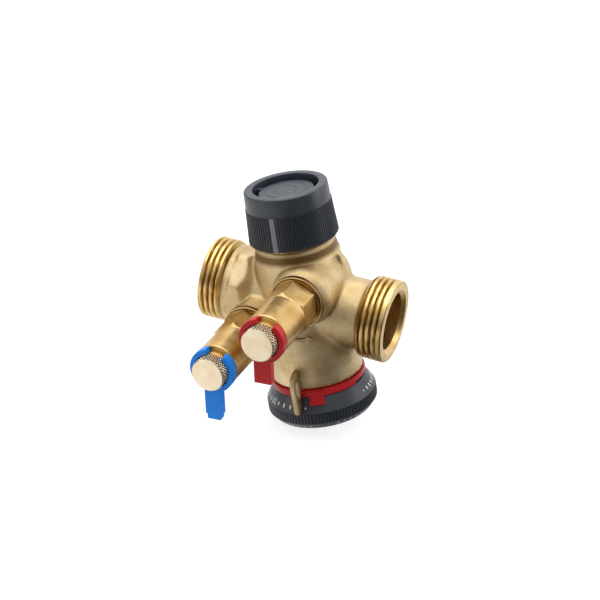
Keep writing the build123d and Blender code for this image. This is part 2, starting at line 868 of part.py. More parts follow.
with BuildPart() as lower_bonnet:
    with BuildSketch(section):
        with BuildLine():
            Polyline(
                (preset_spindle_radius + running_gap, bonnet_hub_foot),
                (bonnet_hub_radius, bonnet_hub_foot),
                (bonnet_hub_radius, bonnet_barrel_foot),
                (bonnet_barrel_radius, bonnet_barrel_foot),
                (bonnet_barrel_radius, bonnet_flange_foot),
                (bonnet_flange_radius - 0.4, bonnet_flange_foot),
                (bonnet_flange_radius, bonnet_flange_foot + 0.4),
                (bonnet_flange_radius, bell_foot - seat_gap),
                (lower_thread_radius - seat_gap, bell_foot - seat_gap),
                (lower_thread_radius - seat_gap, bonnet_top),
                (bonnet_pocket_radius, bonnet_top),
                (bonnet_pocket_radius, bonnet_pocket_floor),
                (preset_spindle_radius + running_gap, bonnet_pocket_floor),
                close=True,
            )
        make_face()
        with Locations((lower_thread_radius - groove_depth / 2, bonnet_groove_middle)):
            Rectangle(groove_depth, 2 * groove_half, mode=Mode.SUBTRACT)
        with Locations((preset_spindle_radius + groove_depth / 2, hub_groove_middle)):
            Rectangle(groove_depth, 2 * groove_half, mode=Mode.SUBTRACT)
    revolve(axis=spindle_line)

save(lower_bonnet, "lower_bonnet")
o_ring(lower_thread_radius, bonnet_groove_middle, "bonnet_o_ring")
o_ring(preset_spindle_radius + o_ring_wire + 2 * seat_gap, hub_groove_middle, "preset_o_ring")

# The preset spindle joins the sleeve above to the dial below.
dial_plate_top = dial_foot + dial_plate
spindle_foot = dial_foot + screw_recess + 0.4
square_top = bonnet_hub_foot - 0.2

with BuildPart() as preset_spindle:
    with BuildSketch(section):
        with BuildLine():
            Polyline(
                (0, square_top),
                (preset_spindle_radius, square_top),
                (preset_spindle_radius, bonnet_pocket_floor + clear_gap),
                (spindle_collar_radius, bonnet_pocket_floor + clear_gap),
                (spindle_collar_radius, bonnet_pocket_floor + clear_gap + spindle_collar_height),
                (preset_spindle_radius, bonnet_pocket_floor + clear_gap + spindle_collar_height),
                (preset_spindle_radius, sleeve_top + 0.6),
                (0, sleeve_top + 0.6),
                close=True,
            )
        make_face()
    revolve(axis=spindle_line)
    with BuildSketch(level(spindle_foot)):
        Rectangle(square_flats, square_flats)
    extrude(amount=square_top - spindle_foot)
    with BuildSketch(level(spindle_foot)):
        Circle(screw_radius + seat_gap)
    extrude(amount=screw_length, mode=Mode.SUBTRACT)

save(preset_spindle, "preset_spindle")

# The dial is a moulded cap with a scale cone, a ribbed grip and a hub on the spindle's square.
with BuildPart() as preset_dial:
    with BuildSketch(section):
        with BuildLine():
            Polyline(
                (0, dial_foot),
                (dial_foot_radius - 0.6, dial_foot),
                (dial_foot_radius, dial_foot + 0.6),
                (dial_radius - dial_rib_depth, dial_rib_foot),
                (dial_radius - dial_rib_depth, dial_rib_top),
                (dial_radius - 0.1, dial_rib_top),
                (dial_rim_radius, dial_rim_height),
                (dial_rim_radius - dial_wall, dial_rim_height),
                (dial_radius - dial_rib_depth - dial_wall, dial_rib_top),
                (dial_radius - dial_rib_depth - dial_wall, dial_plate_top),
                (dial_hub_radius, dial_plate_top),
                (dial_hub_radius, dial_hub_top),
                (0, dial_hub_top),
                close=True,
            )
        make_face()
    revolve(axis=spindle_line)
    with BuildSketch(level(dial_rib_foot)):
        with PolarLocations(dial_radius - dial_rib_depth, dial_rib_count):
            Rectangle(2 * dial_rib_depth, 0.6)
    extrude(amount=dial_rib_top - dial_rib_foot)
    with BuildSketch(level(dial_foot)):
        Rectangle(square_flats + 2 * running_gap, square_flats + 2 * running_gap)
    extrude(amount=dial_hub_top - dial_foot, mode=Mode.SUBTRACT)
    with BuildSketch(level(dial_foot)):
        Circle(screw_head_radius + clear_gap)
    extrude(amount=screw_recess, mode=Mode.SUBTRACT)

save(preset_dial, "preset_dial")

# A pan-head screw from below holds the dial.
screw_seat = dial_foot + screw_recess - seat_gap
with BuildPart() as dial_screw:
    with BuildSketch(section):
        with BuildLine():
            Polyline(
                (0, screw_seat - screw_head_height),
                (screw_head_radius - 0.7, screw_seat - screw_head_height),
                (screw_head_radius, screw_seat - screw_head_height + 0.7),
                (screw_head_radius, screw_seat),
                (screw_radius, screw_seat),
                (screw_radius, spindle_foot + screw_length - 0.5),
                (0, spindle_foot + screw_length - 0.5),
                close=True,
            )
        make_face()
    revolve(axis=spindle_line)
    with BuildSketch(level(screw_seat - screw_head_height)):
        Rectangle(3.4, 0.8)
        Rectangle(0.8, 3.4)
    extrude(amount=1.0, mode=Mode.SUBTRACT)

save(dial_screw, "dial_screw")

# The locking ring turns on the bonnet's flange. Its tab lies over the scale cone.
tab_top_radius = lock_ring_radius
tab_foot_radius = dial_rim_radius + cone_slope * (dial_rim_height - lock_tab_foot) + clear_gap
lock_arc_start = -140.0
lock_arc_end = -16.0

with BuildPart() as locking_ring:
    with BuildSketch(section):
        with BuildLine():
            Polyline(
                (bonnet_flange_radius + running_gap, lock_ring_foot),
                (lock_ring_radius, lock_ring_foot),
                (lock_ring_radius, lock_ring_top + 0.3),
                (lock_ring_radius - 0.3, lock_ring_top),
                (bonnet_flange_radius + running_gap, lock_ring_top),
                close=True,
            )
        make_face()
    revolve(axis=spindle_line)
    with BuildSketch(section_at(lock_arc_start)):
        with BuildLine():
            Polyline(
                (bonnet_flange_radius + running_gap, lock_ring_deep_foot),
                (lock_ring_radius, lock_ring_deep_foot),
                (lock_ring_radius, lock_ring_foot),
                (bonnet_flange_radius + running_gap, lock_ring_foot),
                close=True,
            )
        make_face()
    revolve(axis=spindle_line, revolution_arc=lock_arc_end - lock_arc_start)
    with BuildSketch(section_at(lock_tab_middle - lock_tab_arc / 2)):
        with BuildLine():
            Polyline(
                (tab_top_radius - 0.4, lock_ring_top - 0.2),
                (tab_top_radius + lock_tab_thickness, lock_ring_top - 0.6),
                (tab_foot_radius + lock_tab_thickness, lock_tab_foot + 0.3),
                (tab_foot_radius + lock_tab_thickness - 0.3, lock_tab_foot),
                (tab_foot_radius, lock_tab_foot),
                (dial_rim_radius + clear_gap, dial_rim_height),
                (tab_top_radius - 0.4, lock_ring_deep_foot),
                close=True,
            )
        make_face()
    revolve(axis=spindle_line, revolution_arc=lock_tab_arc)

save(locking_ring, "locking_ring")

# The protective cap screws over the actuator thread: a plain band above a ribbed skirt.
cap_bore = actuator_thread_radius + running_gap
cap_thread_top = collar_top + 0.6
cap_inner_radius = actuator_thread_radius - 1.2
skirt_height = cap_band_foot - cap_foot
skirt_slope = math.degrees(math.atan((cap_foot_radius - cap_skirt_radius) / skirt_height))


def skirt_plane(turn):
    """The plane at the skirt's foot that looks up along its slope."""
    across = radius_towards(turn)
    inward = across * -math.sin(math.radians(skirt_slope))
    along = spindle_up * math.cos(math.radians(skirt_slope)) + inward
    foot = centre + spindle_up * cap_foot + across * (cap_foot_radius - cap_rib_depth)
    return Plane(origin=foot, x_dir=across.cross(spindle_up), z_dir=along)


with BuildPart() as protective_cap:
    with BuildSketch(section):
        with BuildLine():
            Polyline(
                (0, cap_ceiling),
                (0, cap_disc_top),
                (cap_groove_inner - 0.4, cap_disc_top),
                (cap_groove_inner, cap_disc_top - 0.4),
                (cap_groove_inner, cap_floor),
                (cap_groove_outer, cap_floor),
                (cap_groove_outer, cap_top - 0.3),
                (cap_groove_outer + 0.3, cap_top),
                (cap_top_radius - 0.5, cap_top),
                (cap_top_radius, cap_top - 0.5),
                (cap_band_radius, cap_band_foot),
                (cap_skirt_radius - cap_rib_depth, cap_band_foot),
                (cap_foot_radius - cap_rib_depth, cap_foot),
                (cap_bore + 0.6, cap_foot),
                (cap_bore, cap_foot + 0.6),
                (cap_bore, cap_thread_top),
                (cap_inner_radius, cap_thread_top + 0.8),
                (cap_inner_radius, cap_ceiling),
                close=True,
            )
        make_face()
    revolve(axis=spindle_line)
    # two bridges cross the groove
    with BuildSketch(level(cap_floor, cap_bridge_turn)):
        with PolarLocations((cap_groove_inner + cap_groove_outer) / 2, 2):
            Rectangle(cap_groove_outer - cap_groove_inner + 0.6, cap_bridge_width)
    extrude(amount=cap_disc_top - cap_floor + 1.0)
    # fine ribs all round the skirt
    with BuildSketch(*[skirt_plane(k * 360 / cap_rib_count) for k in range(cap_rib_count)]):
        Rectangle(0.55, 2 * cap_rib_depth)
    extrude(amount=skirt_height)
    # one broad bar among the ribs
    with BuildSketch(skirt_plane(cap_bar_direction)):
        Rectangle(cap_bar_width, 2 * cap_rib_depth + 0.4)
    extrude(amount=skirt_height)

save(protective_cap, "protective_cap")

# The two test points are alike: a body with a self-sealing plug, a knurled cap and a marker.
for place, face, reach, stepped, side in (
    (inlet_point, inlet_boss_face, inlet_tab_reach, False, "inlet"),
    (outlet_point, outlet_boss_face, outlet_tab_reach, True, "outlet"),
):
    x, z = place
    point_plane = Plane(origin=centre + Vector(x, -face, z), x_dir=(1, 0, 0), z_dir=(0, 0, -1))
    point_line = Axis(centre + Vector(x, -face, z), (0, -1, 0))
    barrel_foot = point_hex_length
    neck_foot_at = barrel_foot + point_barrel_length
    nose_foot = neck_foot_at + point_neck_length
    nose_end = nose_foot + point_nose_length
    retainer_foot = point_chamber_start - 1.5
    gasket_foot = nose_end + seat_gap
    gasket_height = 0.5
    cap_end = gasket_foot + gasket_height + 0.05 + tip_cap_face

    # turned and hexagonal brass body, screwed into its boss
    with BuildPart() as point_body:
        with BuildSketch(point_plane):
            with BuildLine():
                Polyline(
                    (point_bore_radius, -point_thread_length),
                    (point_thread_radius - 0.8, -point_thread_length),
                    (point_thread_radius, -point_thread_length + 0.8),
                    (point_thread_radius, 0.02),
                    (point_hex_flats / 2 + 0.9, 0.02),
                    (point_hex_flats / 2 + 0.9, point_hex_length),
                    (point_barrel_radius, point_hex_length),
                    (point_barrel_radius, neck_foot_at - 0.5),
                    (point_barrel_radius - 0.5, neck_foot_at),
                    (point_neck_radius, neck_foot_at),
                    (point_neck_radius, nose_foot - 0.2),
                    (point_neck_radius - 0.2, nose_foot),
                    (point_nose_radius, nose_foot),
                    (point_nose_radius, nose_end - 0.3),
                    (point_nose_radius - 0.3, nose_end),
                    (point_bore_radius, nose_end),
                    close=True,
                )
            make_face()
            with Locations((point_thread_radius - groove_depth / 2, -groove_half - 0.3)):
                Rectangle(groove_depth, 2 * groove_half, mode=Mode.SUBTRACT)
            with Locations((point_chamber_radius / 2, (retainer_foot + nose_end - 1.2) / 2)):
                Rectangle(point_chamber_radius, nose_end - 1.2 - retainer_foot, mode=Mode.SUBTRACT)
            with Locations((point_chamber_radius / 2, (retainer_foot - point_thread_length) / 2)):
                Rectangle(point_chamber_radius, retainer_foot + point_thread_length, mode=Mode.SUBTRACT)
        revolve(axis=point_line)
        with BuildSketch(front(face)):
            with Locations((x, z)):
                Circle(point_hex_flats)
                RegularPolygon(point_hex_flats / 2, 6, major_radius=False, rotation=10, mode=Mode.SUBTRACT)
        extrude(amount=point_hex_length, mode=Mode.SUBTRACT)

    save(point_body, side + "_point_body")

    with BuildPart() as point_o_ring:
        with BuildSketch(point_plane):
            with Locations((point_thread_radius - o_ring_inset, -groove_half - 0.3)):
                Circle(o_ring_wire / 2)
        revolve(axis=point_line)

    save(point_o_ring, side + "_point_o_ring")

    # rubber plug that seals itself round a measuring needle
    with BuildPart() as needle_seal:
        with BuildSketch(front(face + point_chamber_start)):
            with Locations((x, z)):
                Circle(point_chamber_radius - seat_gap)
        extrude(amount=nose_end - 1.2 - seat_gap - point_chamber_start)

    save(needle_seal, side + "_needle_seal")

    # brass ring pushed in behind the plug
    with BuildPart() as seal_retainer:
        with BuildSketch(front(face + retainer_foot)):
            with Locations((x, z)):
                Circle(point_chamber_radius - seat_gap)
                Circle(point_bore_radius - 0.4, mode=Mode.SUBTRACT)
        extrude(amount=point_chamber_start - seat_gap - retainer_foot)

    save(seal_retainer, side + "_seal_retainer")

    # flat gasket inside the knurled cap
    with BuildPart() as cap_gasket:
        with BuildSketch(front(face + gasket_foot)):
            with Locations((x, z)):
                Circle(point_nose_radius - 0.2)
        extrude(amount=gasket_height)

    save(cap_gasket, side + "_cap_gasket")

    # knurled cap screwed over the nose
    with BuildPart() as tip_cap:
        with BuildSketch(point_plane):
            with BuildLine():
                Polyline(
                    (0, cap_end - tip_cap_face),
                    (0, cap_end),
                    (tip_cap_radius - 0.45, cap_end),
                    (tip_cap_radius, cap_end - 0.45),
                    (tip_cap_radius, cap_end - tip_cap_length + 0.4),
                    (tip_cap_radius - 0.4, cap_end - tip_cap_length),
                    (point_nose_radius + running_gap, cap_end - tip_cap_length),
                    (point_nose_radius + running_gap, cap_end - tip_cap_face),
                    close=True,
                )
            make_face()
        revolve(axis=point_line)

    save(tip_cap, side + "_tip_cap")

    # plastic marker that clips round the neck, open at the top, with a tab below
    with BuildPart() as marker:
        with BuildSketch(front(face + neck_foot_at + clear_gap)):
            with Locations((x, z)):
                Circle(marker_radius)
                Circle(point_neck_radius + running_gap, mode=Mode.SUBTRACT)
            gap_half = math.radians(marker_gap_arc / 2)
            gap_middle = math.radians(marker_gap_middle)
            with BuildLine():
                Polyline(
                    (x, z),
                    (x + 15 * math.cos(gap_middle - gap_half), z + 15 * math.sin(gap_middle - gap_half)),
                    (x + 15 * math.cos(gap_middle + gap_half), z + 15 * math.sin(gap_middle + gap_half)),
                    close=True,
                )
            make_face(mode=Mode.SUBTRACT)
            tab_root = marker_radius - 1.2
            with Locations(Location((x, z, 0), (0, 0, marker_tab_turn))):
                with Locations((0, -(tab_root + reach) / 2)):
                    Rectangle(marker_tab_width, reach - tab_root)
                if stepped:
                    step_middle = (marker_tab_width + marker_end_width) / 4
                    with Locations(
                        (-step_middle, marker_tab_step / 2 - reach),
                        (step_middle, marker_tab_step / 2 - reach),
                    ):
                        Rectangle(
                            (marker_tab_width - marker_end_width) / 2, marker_tab_step, mode=Mode.SUBTRACT
                        )
        extrude(amount=marker_length)

    save(marker, side + "_marker")
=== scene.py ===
import json
import math

import bmesh
import bpy
import numpy as np
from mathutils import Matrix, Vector, kdtree, noise
from mathutils.bvhtree import BVHTree


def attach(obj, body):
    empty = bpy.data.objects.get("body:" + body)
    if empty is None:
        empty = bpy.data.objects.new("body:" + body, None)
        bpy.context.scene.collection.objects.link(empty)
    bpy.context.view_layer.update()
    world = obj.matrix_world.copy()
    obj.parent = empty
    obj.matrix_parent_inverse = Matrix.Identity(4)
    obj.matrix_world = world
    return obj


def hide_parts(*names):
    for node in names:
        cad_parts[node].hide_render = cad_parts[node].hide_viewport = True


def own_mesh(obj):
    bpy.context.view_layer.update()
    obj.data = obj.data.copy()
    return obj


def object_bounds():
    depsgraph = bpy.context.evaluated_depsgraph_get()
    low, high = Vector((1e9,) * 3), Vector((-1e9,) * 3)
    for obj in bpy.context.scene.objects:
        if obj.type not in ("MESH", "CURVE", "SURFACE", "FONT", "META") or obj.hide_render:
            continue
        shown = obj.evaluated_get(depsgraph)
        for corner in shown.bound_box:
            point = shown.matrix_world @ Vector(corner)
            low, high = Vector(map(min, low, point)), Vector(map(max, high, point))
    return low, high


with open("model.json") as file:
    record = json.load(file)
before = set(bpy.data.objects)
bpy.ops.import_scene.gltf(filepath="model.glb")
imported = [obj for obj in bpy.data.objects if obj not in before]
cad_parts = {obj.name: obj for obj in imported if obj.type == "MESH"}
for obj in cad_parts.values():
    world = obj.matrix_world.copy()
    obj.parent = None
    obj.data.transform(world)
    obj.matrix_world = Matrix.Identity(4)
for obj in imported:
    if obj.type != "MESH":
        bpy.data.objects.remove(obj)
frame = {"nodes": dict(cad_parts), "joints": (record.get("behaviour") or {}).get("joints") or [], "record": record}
cad_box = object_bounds()

# The valve body
# One sand casting in brass: a housing that leans towards the inlet, an arm for each pipe, a boss
# for each test point, a web and a lug for a seal wire. Its ways and faces are machined afterwards.
mm = 0.001
joints = {joint["name"]: joint for joint in frame["joints"]}
spindle_up = np.array(joints["dial_turn"]["axis"])
dial_place = np.array(joints["dial_turn"]["pos_m"]) / mm
centre = dial_place - spindle_up * dial_place[2] / spindle_up[2]
spindle = (centre, spindle_up, np.cross((0.0, 1.0, 0.0), spindle_up))
mounts = {mount["name"]: mount for mount in frame["record"]["mounts"]}
along, across_pipe, forward = np.array((1.0, 0, 0)), np.array((0, 1.0, 0)), np.array((0, -1.0, 0))
inlet_mouth = (np.array(mounts["inlet_face"]["pos_m"]) / mm, along, across_pipe)
outlet_mouth = (np.array(mounts["outlet_face"]["pos_m"]) / mm, -along, across_pipe)

inlet_thread_length = 9.7
outlet_thread_length = 11.2
port_bore = 11.5
port_mouth = 13.0
upper_chamber = 14.0
lower_chamber = 14.5
lower_bore = 15.2
head_bore = 11.5
head_seat_radius = 12.65
head_seat_height = 33.0
partition_top = 1.0
partition_foot = -2.0
partition_bore = 9.0
chamber_top = 15.0
lower_bore_top = -20.5
neck_top = 25.8
neck_foot = 21.2
neck_radius = 15.4
neck_room = 18.0
bell_foot = -31.2
bell_trim = 19.6
bell_radius = 18.57
lug_gap = 0.08
collar_top = 36.0
inlet_way_start = 19.5
outlet_way_start = 17.0
boss_skim = 0.25
boss_room = 11.0
point_hole = 6.62
point_hole_depth = 8.9
test_points = {
    "inlet": (centre + (5.2, -23.8, 11.2), forward, along),
    "outlet": (centre + (-13.7, -24.9, -6.5), forward, along),
}
smooth_limit = 32
casting_voxel = 0.45
casting_fill_rounds = 9
casting_edge_share = 0.12
casting_wave, casting_wave_size = 0.07, 5.0
bore_skin = 0.4
trim_radius, trim_reach = 25.0, 5.0


def drawn(outline, loop, step):
    """The points of an outline of (radius, height[, round]), rounds drawn and long runs divided."""
    corners = [np.array(point[:2], float) for point in outline]
    rounds = [point[2] if len(point) > 2 else 0 for point in outline]
    count = len(corners)
    points = []
    for k, corner in enumerate(corners):
        if not rounds[k]:
            points.append(corner)
            continue
        back = corners[k - 1] - corner
        on = corners[(k + 1) % count] - corner
        back_length, on_length = np.linalg.norm(back), np.linalg.norm(on)
        half = math.acos(np.clip(back @ on / back_length / on_length, -1, 1)) / 2
        reach = min(rounds[k] / math.tan(half), 0.48 * back_length, 0.48 * on_length)
        start, end = corner + back / back_length * reach, corner + on / on_length * reach
        for t in np.linspace(0, 1, 5):
            points.append(start * (1 - t) ** 2 + corner * 2 * t * (1 - t) + end * t**2)
    if loop:
        points.append(points[0])
    divided = [points[0]]
    for a, b in zip(points, points[1:]):
        parts = max(1, math.ceil(np.linalg.norm(b - a) / step)) if step else 1
        divided += [a + (b - a) * (k + 1) / parts for k in range(parts)]
    return np.array(divided[:-1] if loop else divided)


def smoothly_shaded(mesh, limit):
    """Shades a mesh smooth, with sharp edges past an angle in degrees."""
    mesh.polygons.foreach_set("use_smooth", [True] * len(mesh.polygons))
    mesh.set_sharp_from_angle(angle=math.radians(limit))


def finished_mesh(name, points, faces):
    """A smooth-shaded mesh from points in millimetres."""
    mesh = bpy.data.meshes.new(name)
    mesh.from_pydata((np.asarray(points) * mm).tolist(), [], faces)
    smoothly_shaded(mesh, smooth_limit)
    return mesh


def painted(mesh, name, values):
    """Stores a value for each point of a mesh, which its material reads."""
    shade = mesh.attributes.new(name, "FLOAT", "POINT")
    shade.data.foreach_set("value", np.asarray(values, np.float32))


def turned(name, line, outline, columns, step=None, shape=None, arc=None):
    """A piece turned about a line. Its outline starts and ends on the line, or is a loop clear of
    it. A shape function may change radius and height. An arc keeps a sector only."""
    origin, up, zero = line
    third = np.cross(up, zero)
    loop = outline[0][0] > 0
    rows = drawn(outline, loop, step)
    if arc:
        turn = np.radians(np.linspace(arc[0], arc[1], columns + 1))
    else:
        turn = np.linspace(0, 2 * math.pi, columns, endpoint=False)
    radius = np.repeat(rows[:, :1], len(turn), 1)
    height = np.repeat(rows[:, 1:], len(turn), 1)
    turns = np.repeat(turn[None], len(rows), 0)
    if shape:
        radius, height = shape(radius, height, turns)
    around = np.cos(turns)[..., None] * zero + np.sin(turns)[..., None] * third
    grid = origin + height[..., None] * up + radius[..., None] * around
    count, wide = grid.shape[:2]
    points = grid.reshape(-1, 3)
    ring = lambda i, j: (i % count) * wide + j % wide
    faces = []
    first, last = (0, count) if loop else (1, count - 2)
    spans = wide if not arc else wide - 1
    for i in range(first, last):
        for j in range(spans):
            faces.append([ring(i, j), ring(i, j + 1), ring(i + 1, j + 1), ring(i + 1, j)])
    if not loop:
        top, below = count - 1, count - 2
        faces += [[ring(0, 0), ring(1, j + 1), ring(1, j)] for j in range(spans)]
        faces += [[ring(top, 0), ring(below, j), ring(below, j + 1)] for j in range(spans)]
    if arc:
        faces.append([ring(i, 0) for i in range(count)])
        faces.append([ring(i, wide - 1) for i in reversed(range(count))])
    ahead = np.roll(rows, -1, 0)
    if (rows[:, 0] * ahead[:, 1] - ahead[:, 0] * rows[:, 1]).sum() < 0:
        faces = [face[::-1] for face in faces]
    mesh = finished_mesh(name, points, faces)
    run = np.concatenate(([0], np.cumsum(np.linalg.norm(np.diff(rows, axis=0), axis=1))))
    painted(mesh, "run", np.repeat(run, wide))
    if not loop:
        work = bmesh.new()
        work.from_mesh(mesh)
        loose = [vertex for vertex in work.verts if not vertex.link_faces]
        bmesh.ops.delete(work, geom=loose, context="VERTS")
        work.to_mesh(mesh)
        work.free()
    return mesh


def placed(mesh, material=None):
    """A new object that shows a mesh."""
    thing = bpy.data.objects.new(mesh.name, mesh)
    bpy.context.scene.collection.objects.link(thing)
    if material:
        mesh.materials.clear()
        mesh.materials.append(material)
    return thing


def applied(thing):
    """The mesh of an object with its modifiers applied."""
    graph = bpy.context.evaluated_depsgraph_get()
    mesh = bpy.data.meshes.new_from_object(thing.evaluated_get(graph))
    name = thing.name
    thing.data.name = name + "_before"
    bpy.data.objects.remove(thing)
    mesh.name = name
    return mesh


def plain_rod(line, radius, start, end):
    """A round rod along a line between two heights, for filling and cutting."""
    return turned("rod", line, [(0, start), (radius, start), (radius, end), (0, end)], 128)


def joined(meshes):
    """One mesh that holds several."""
    both = bmesh.new()
    for mesh in meshes:
        both.from_mesh(mesh)
    mesh = bpy.data.meshes.new("joined")
    both.to_mesh(mesh)
    both.free()
    return mesh


def settled(mesh, rounds, edge_share):
    """Fills a casting's sunken creases, rounds its edges less, and tells how far points rose."""
    count = len(mesh.vertices)
    start = np.empty(count * 3)
    mesh.vertices.foreach_get("co", start)
    start = start.reshape(-1, 3)
    edges = np.empty(len(mesh.edges) * 2, int)
    mesh.edges.foreach_get("vertices", edges)
    a, b = edges[0::2], edges[1::2]
    links = np.bincount(a, minlength=count) + np.bincount(b, minlength=count)

    def smoothed(points, times, strength):
        for _ in range(times):
            sums = [
                np.bincount(a, points[b, k], count) + np.bincount(b, points[a, k], count)
                for k in range(3)
            ]
            points = points + (np.stack(sums, 1) / links[:, None] - points) * strength
        return points

    normal = np.empty(count * 3, np.float32)
    mesh.vertex_normals.foreach_get("vector", normal)
    normal = normal.reshape(-1, 3)
    soft = smoothed(start, rounds, 0.8)
    rise = ((soft - start) * normal).sum(1)
    share = np.where(rise > 0, 1.0, edge_share)
    share = smoothed(np.repeat(share[:, None], 3, 1), 6, 0.8)[:, :1]
    points = smoothed(start + (soft - start) * share, 3, 0.5)
    mesh.vertices.foreach_set("co", points.reshape(-1))
    return rise / mm


def waved(mesh, height, size):
    """Lifts the points of a casting by a slow uneven wave, as its sand mould left it."""
    for vertex, normal in zip(mesh.vertices, [n.vector.copy() for n in mesh.vertex_normals]):
        vertex.co += normal * height * mm * noise.noise(vertex.co / (size * mm))


def half_way(line, start, end, cut_height, keep_above):
    """A round way along the pipe that is cut off by the partition across the spindle line."""
    mesh = plain_rod(line, port_bore, start - 0.1, end)
    cut = bmesh.new()
    cut.from_mesh(mesh)
    bmesh.ops.bisect_plane(
        cut,
        geom=cut.verts[:] + cut.edges[:] + cut.faces[:],
        plane_co=Vector((centre + spindle_up * cut_height) * mm),
        plane_no=Vector(spindle_up),
        clear_inner=keep_above,
        clear_outer=not keep_above,
    )
    bmesh.ops.holes_fill(cut, edges=[edge for edge in cut.edges if edge.is_boundary])
    bmesh.ops.recalc_face_normals(cut, faces=cut.faces[:])
    cut.to_mesh(mesh)
    cut.free()
    return mesh


def cut_away(thing, cutters):
    """Cuts closed meshes out of an object's mesh."""
    tools = [placed(mesh) for mesh in cutters]
    for tool in tools:
        cut = thing.modifiers.new("cut", "BOOLEAN")
        cut.operation = "DIFFERENCE"
        cut.solver = "MANIFOLD"
        cut.object = tool
    mesh = applied(thing)
    for tool in tools:
        bpy.data.objects.remove(tool)
    return mesh


def add_node(tree, kind, inputs=(), **settings):
    """A shader node with its settings and inputs. An input is a value or another node's output."""
    node = tree.nodes.new("ShaderNode" + kind)
    for name, value in settings.items():
        setattr(node, name, value)
    for key, value in dict(inputs).items():
        if isinstance(value, bpy.types.NodeSocket):
            tree.links.new(value, node.inputs[key])
        else:
            node.inputs[key].default_value = value
    return node


def mixed(tree, amount, first, second):
    """The colour between two, by an amount from 0 to 1."""
    node = add_node(tree, "Mix", {0: amount, 6: first, 7: second}, data_type="RGBA")
    return node.outputs[2]


def ranged(tree, value, low, high, to_low, to_high):
    """A value moved from one range to another and kept inside it."""
    limits = {"From Min": low, "From Max": high, "To Min": to_low, "To Max": to_high}
    return add_node(tree, "MapRange", {"Value": value, **limits}).outputs["Result"]


def maths(tree, operation, first, second):
    """Two values put through a maths node."""
    return add_node(tree, "Math", {0: first, 1: second}, operation=operation).outputs[0]


def stored(tree, name):
    """A value that was painted on the points of a mesh."""
    return add_node(tree, "Attribute", attribute_name=name).outputs["Fac"]


def new_material(name):
    """A material with its tree and surface shader."""
    material = bpy.data.materials.new(name)
    material.use_nodes = True
    return material, material.node_tree, material.node_tree.nodes["Principled BSDF"]


def specks(tree, size, detail=3.0):
    """Noise whose specks are about a size in millimetres across."""
    place = add_node(tree, "TexCoord").outputs["Object"]
    inputs = {"Vector": place, "Scale": 1 / (size * mm), "Detail": detail}
    return add_node(tree, "TexNoise", inputs).outputs["Fac"]


def coloured(tree, surface, colour, roughness):
    """Links a surface's colour and its roughness."""
    tree.links.new(colour, surface.inputs["Base Color"])
    tree.links.new(roughness, surface.inputs["Roughness"])


def embossed(tree, surface, strength, distance, height):
    """Gives a surface a fine relief, over a distance in millimetres."""
    inputs = {"Strength": strength, "Distance": distance * mm, "Height": height}
    tree.links.new(add_node(tree, "Bump", inputs).outputs["Normal"], surface.inputs["Normal"])


def sanded_brass():
    """Brass as it leaves the sand mould: khaki, grainy, with painted brown shade in its hollows."""
    material, tree, surface = new_material("sanded_brass")
    pale, deep, brown = (0.78, 0.62, 0.36, 1), (0.59, 0.43, 0.21, 1), (0.12, 0.06, 0.018, 1)
    broad = ranged(tree, specks(tree, 9.0), 0.35, 0.65, 0, 1)
    grain = specks(tree, 0.4)
    body = mixed(tree, broad, deep, pale)
    pitted = mixed(tree, ranged(tree, grain, 0.32, 0.5, 0.3, 0), body, brown)
    # Painted shade: brown wherever a mesh stores shade, deepest in the casting's creases.
    shade_browned = mixed(tree, ranged(tree, stored(tree, "painted_shade"), 0.04, 0.8, 0, 0.9), pitted, brown)
    coloured(tree, surface, shade_browned, ranged(tree, specks(tree, 2.4), 0.3, 0.7, 0.29, 0.39))
    surface.inputs["Metallic"].default_value = 1.0
    embossed(tree, surface, 0.85, 0.17, maths(tree, "ADD", grain, specks(tree, 0.22, 2.0)))
    return material


cast_brass = sanded_brass()

blank = frame["nodes"]["valve_body"].data.copy()
point_plugs = [
    plain_rod(line, point_hole + 0.6, -point_hole_depth - 1, -0.2) for line in test_points.values()
]
fillings = [
    plain_rod(spindle, lower_bore + 0.5, bell_foot, chamber_top + 1),
    plain_rod(spindle, head_seat_radius + 0.7, chamber_top, collar_top - 0.2),
    plain_rod(inlet_mouth, port_mouth + 0.3, 0.3, inlet_way_start + 12),
    plain_rod(outlet_mouth, port_mouth + 0.3, 0.3, outlet_way_start + 12),
]
rough_casting = placed(joined([blank] + fillings + point_plugs))
rough_casting.name = "casting"
cast_skin = rough_casting.modifiers.new("skin", "REMESH")
cast_skin.mode = "VOXEL"
cast_skin.voxel_size = casting_voxel * mm
skin = applied(rough_casting)
rise = settled(skin, casting_fill_rounds, casting_edge_share)
waved(skin, casting_wave, casting_wave_size)
rises = kdtree.KDTree(len(skin.vertices))
for vertex in skin.vertices:
    rises.insert(vertex.co, vertex.index)
rises.balance()

top_room, foot_room = 50, -60
neck_cut = [
    (neck_radius, neck_foot),
    (neck_room, neck_foot),
    (neck_room, neck_top + 4.2),
    (neck_radius, neck_top + 4.2),
]
lug_cut = [
    (bell_radius + lug_gap, -45),
    (30, -45),
    (30, -21),
    (bell_radius + lug_gap, -21),
]
trims = [
    plain_rod(spindle, neck_top, neck_top, top_room),
    plain_rod(spindle, bell_trim, foot_room, bell_foot),
    turned("trim", spindle, neck_cut, 192),
    turned("trim", spindle, lug_cut, 24, arc=(-103, -77)),
    plain_rod(inlet_mouth, trim_radius, -trim_reach, inlet_thread_length),
    plain_rod(outlet_mouth, trim_radius, -trim_reach, outlet_thread_length),
]
for line in test_points.values():
    trims.append(plain_rod(line, boss_room, -boss_skim, trim_reach))
    trims.append(plain_rod(line, point_hole, -point_hole_depth, 0))
pipe_length = outlet_mouth[0][0]
inlet_way_end = centre[0] - inlet_way_start
outlet_way_end = pipe_length - centre[0] - outlet_way_start
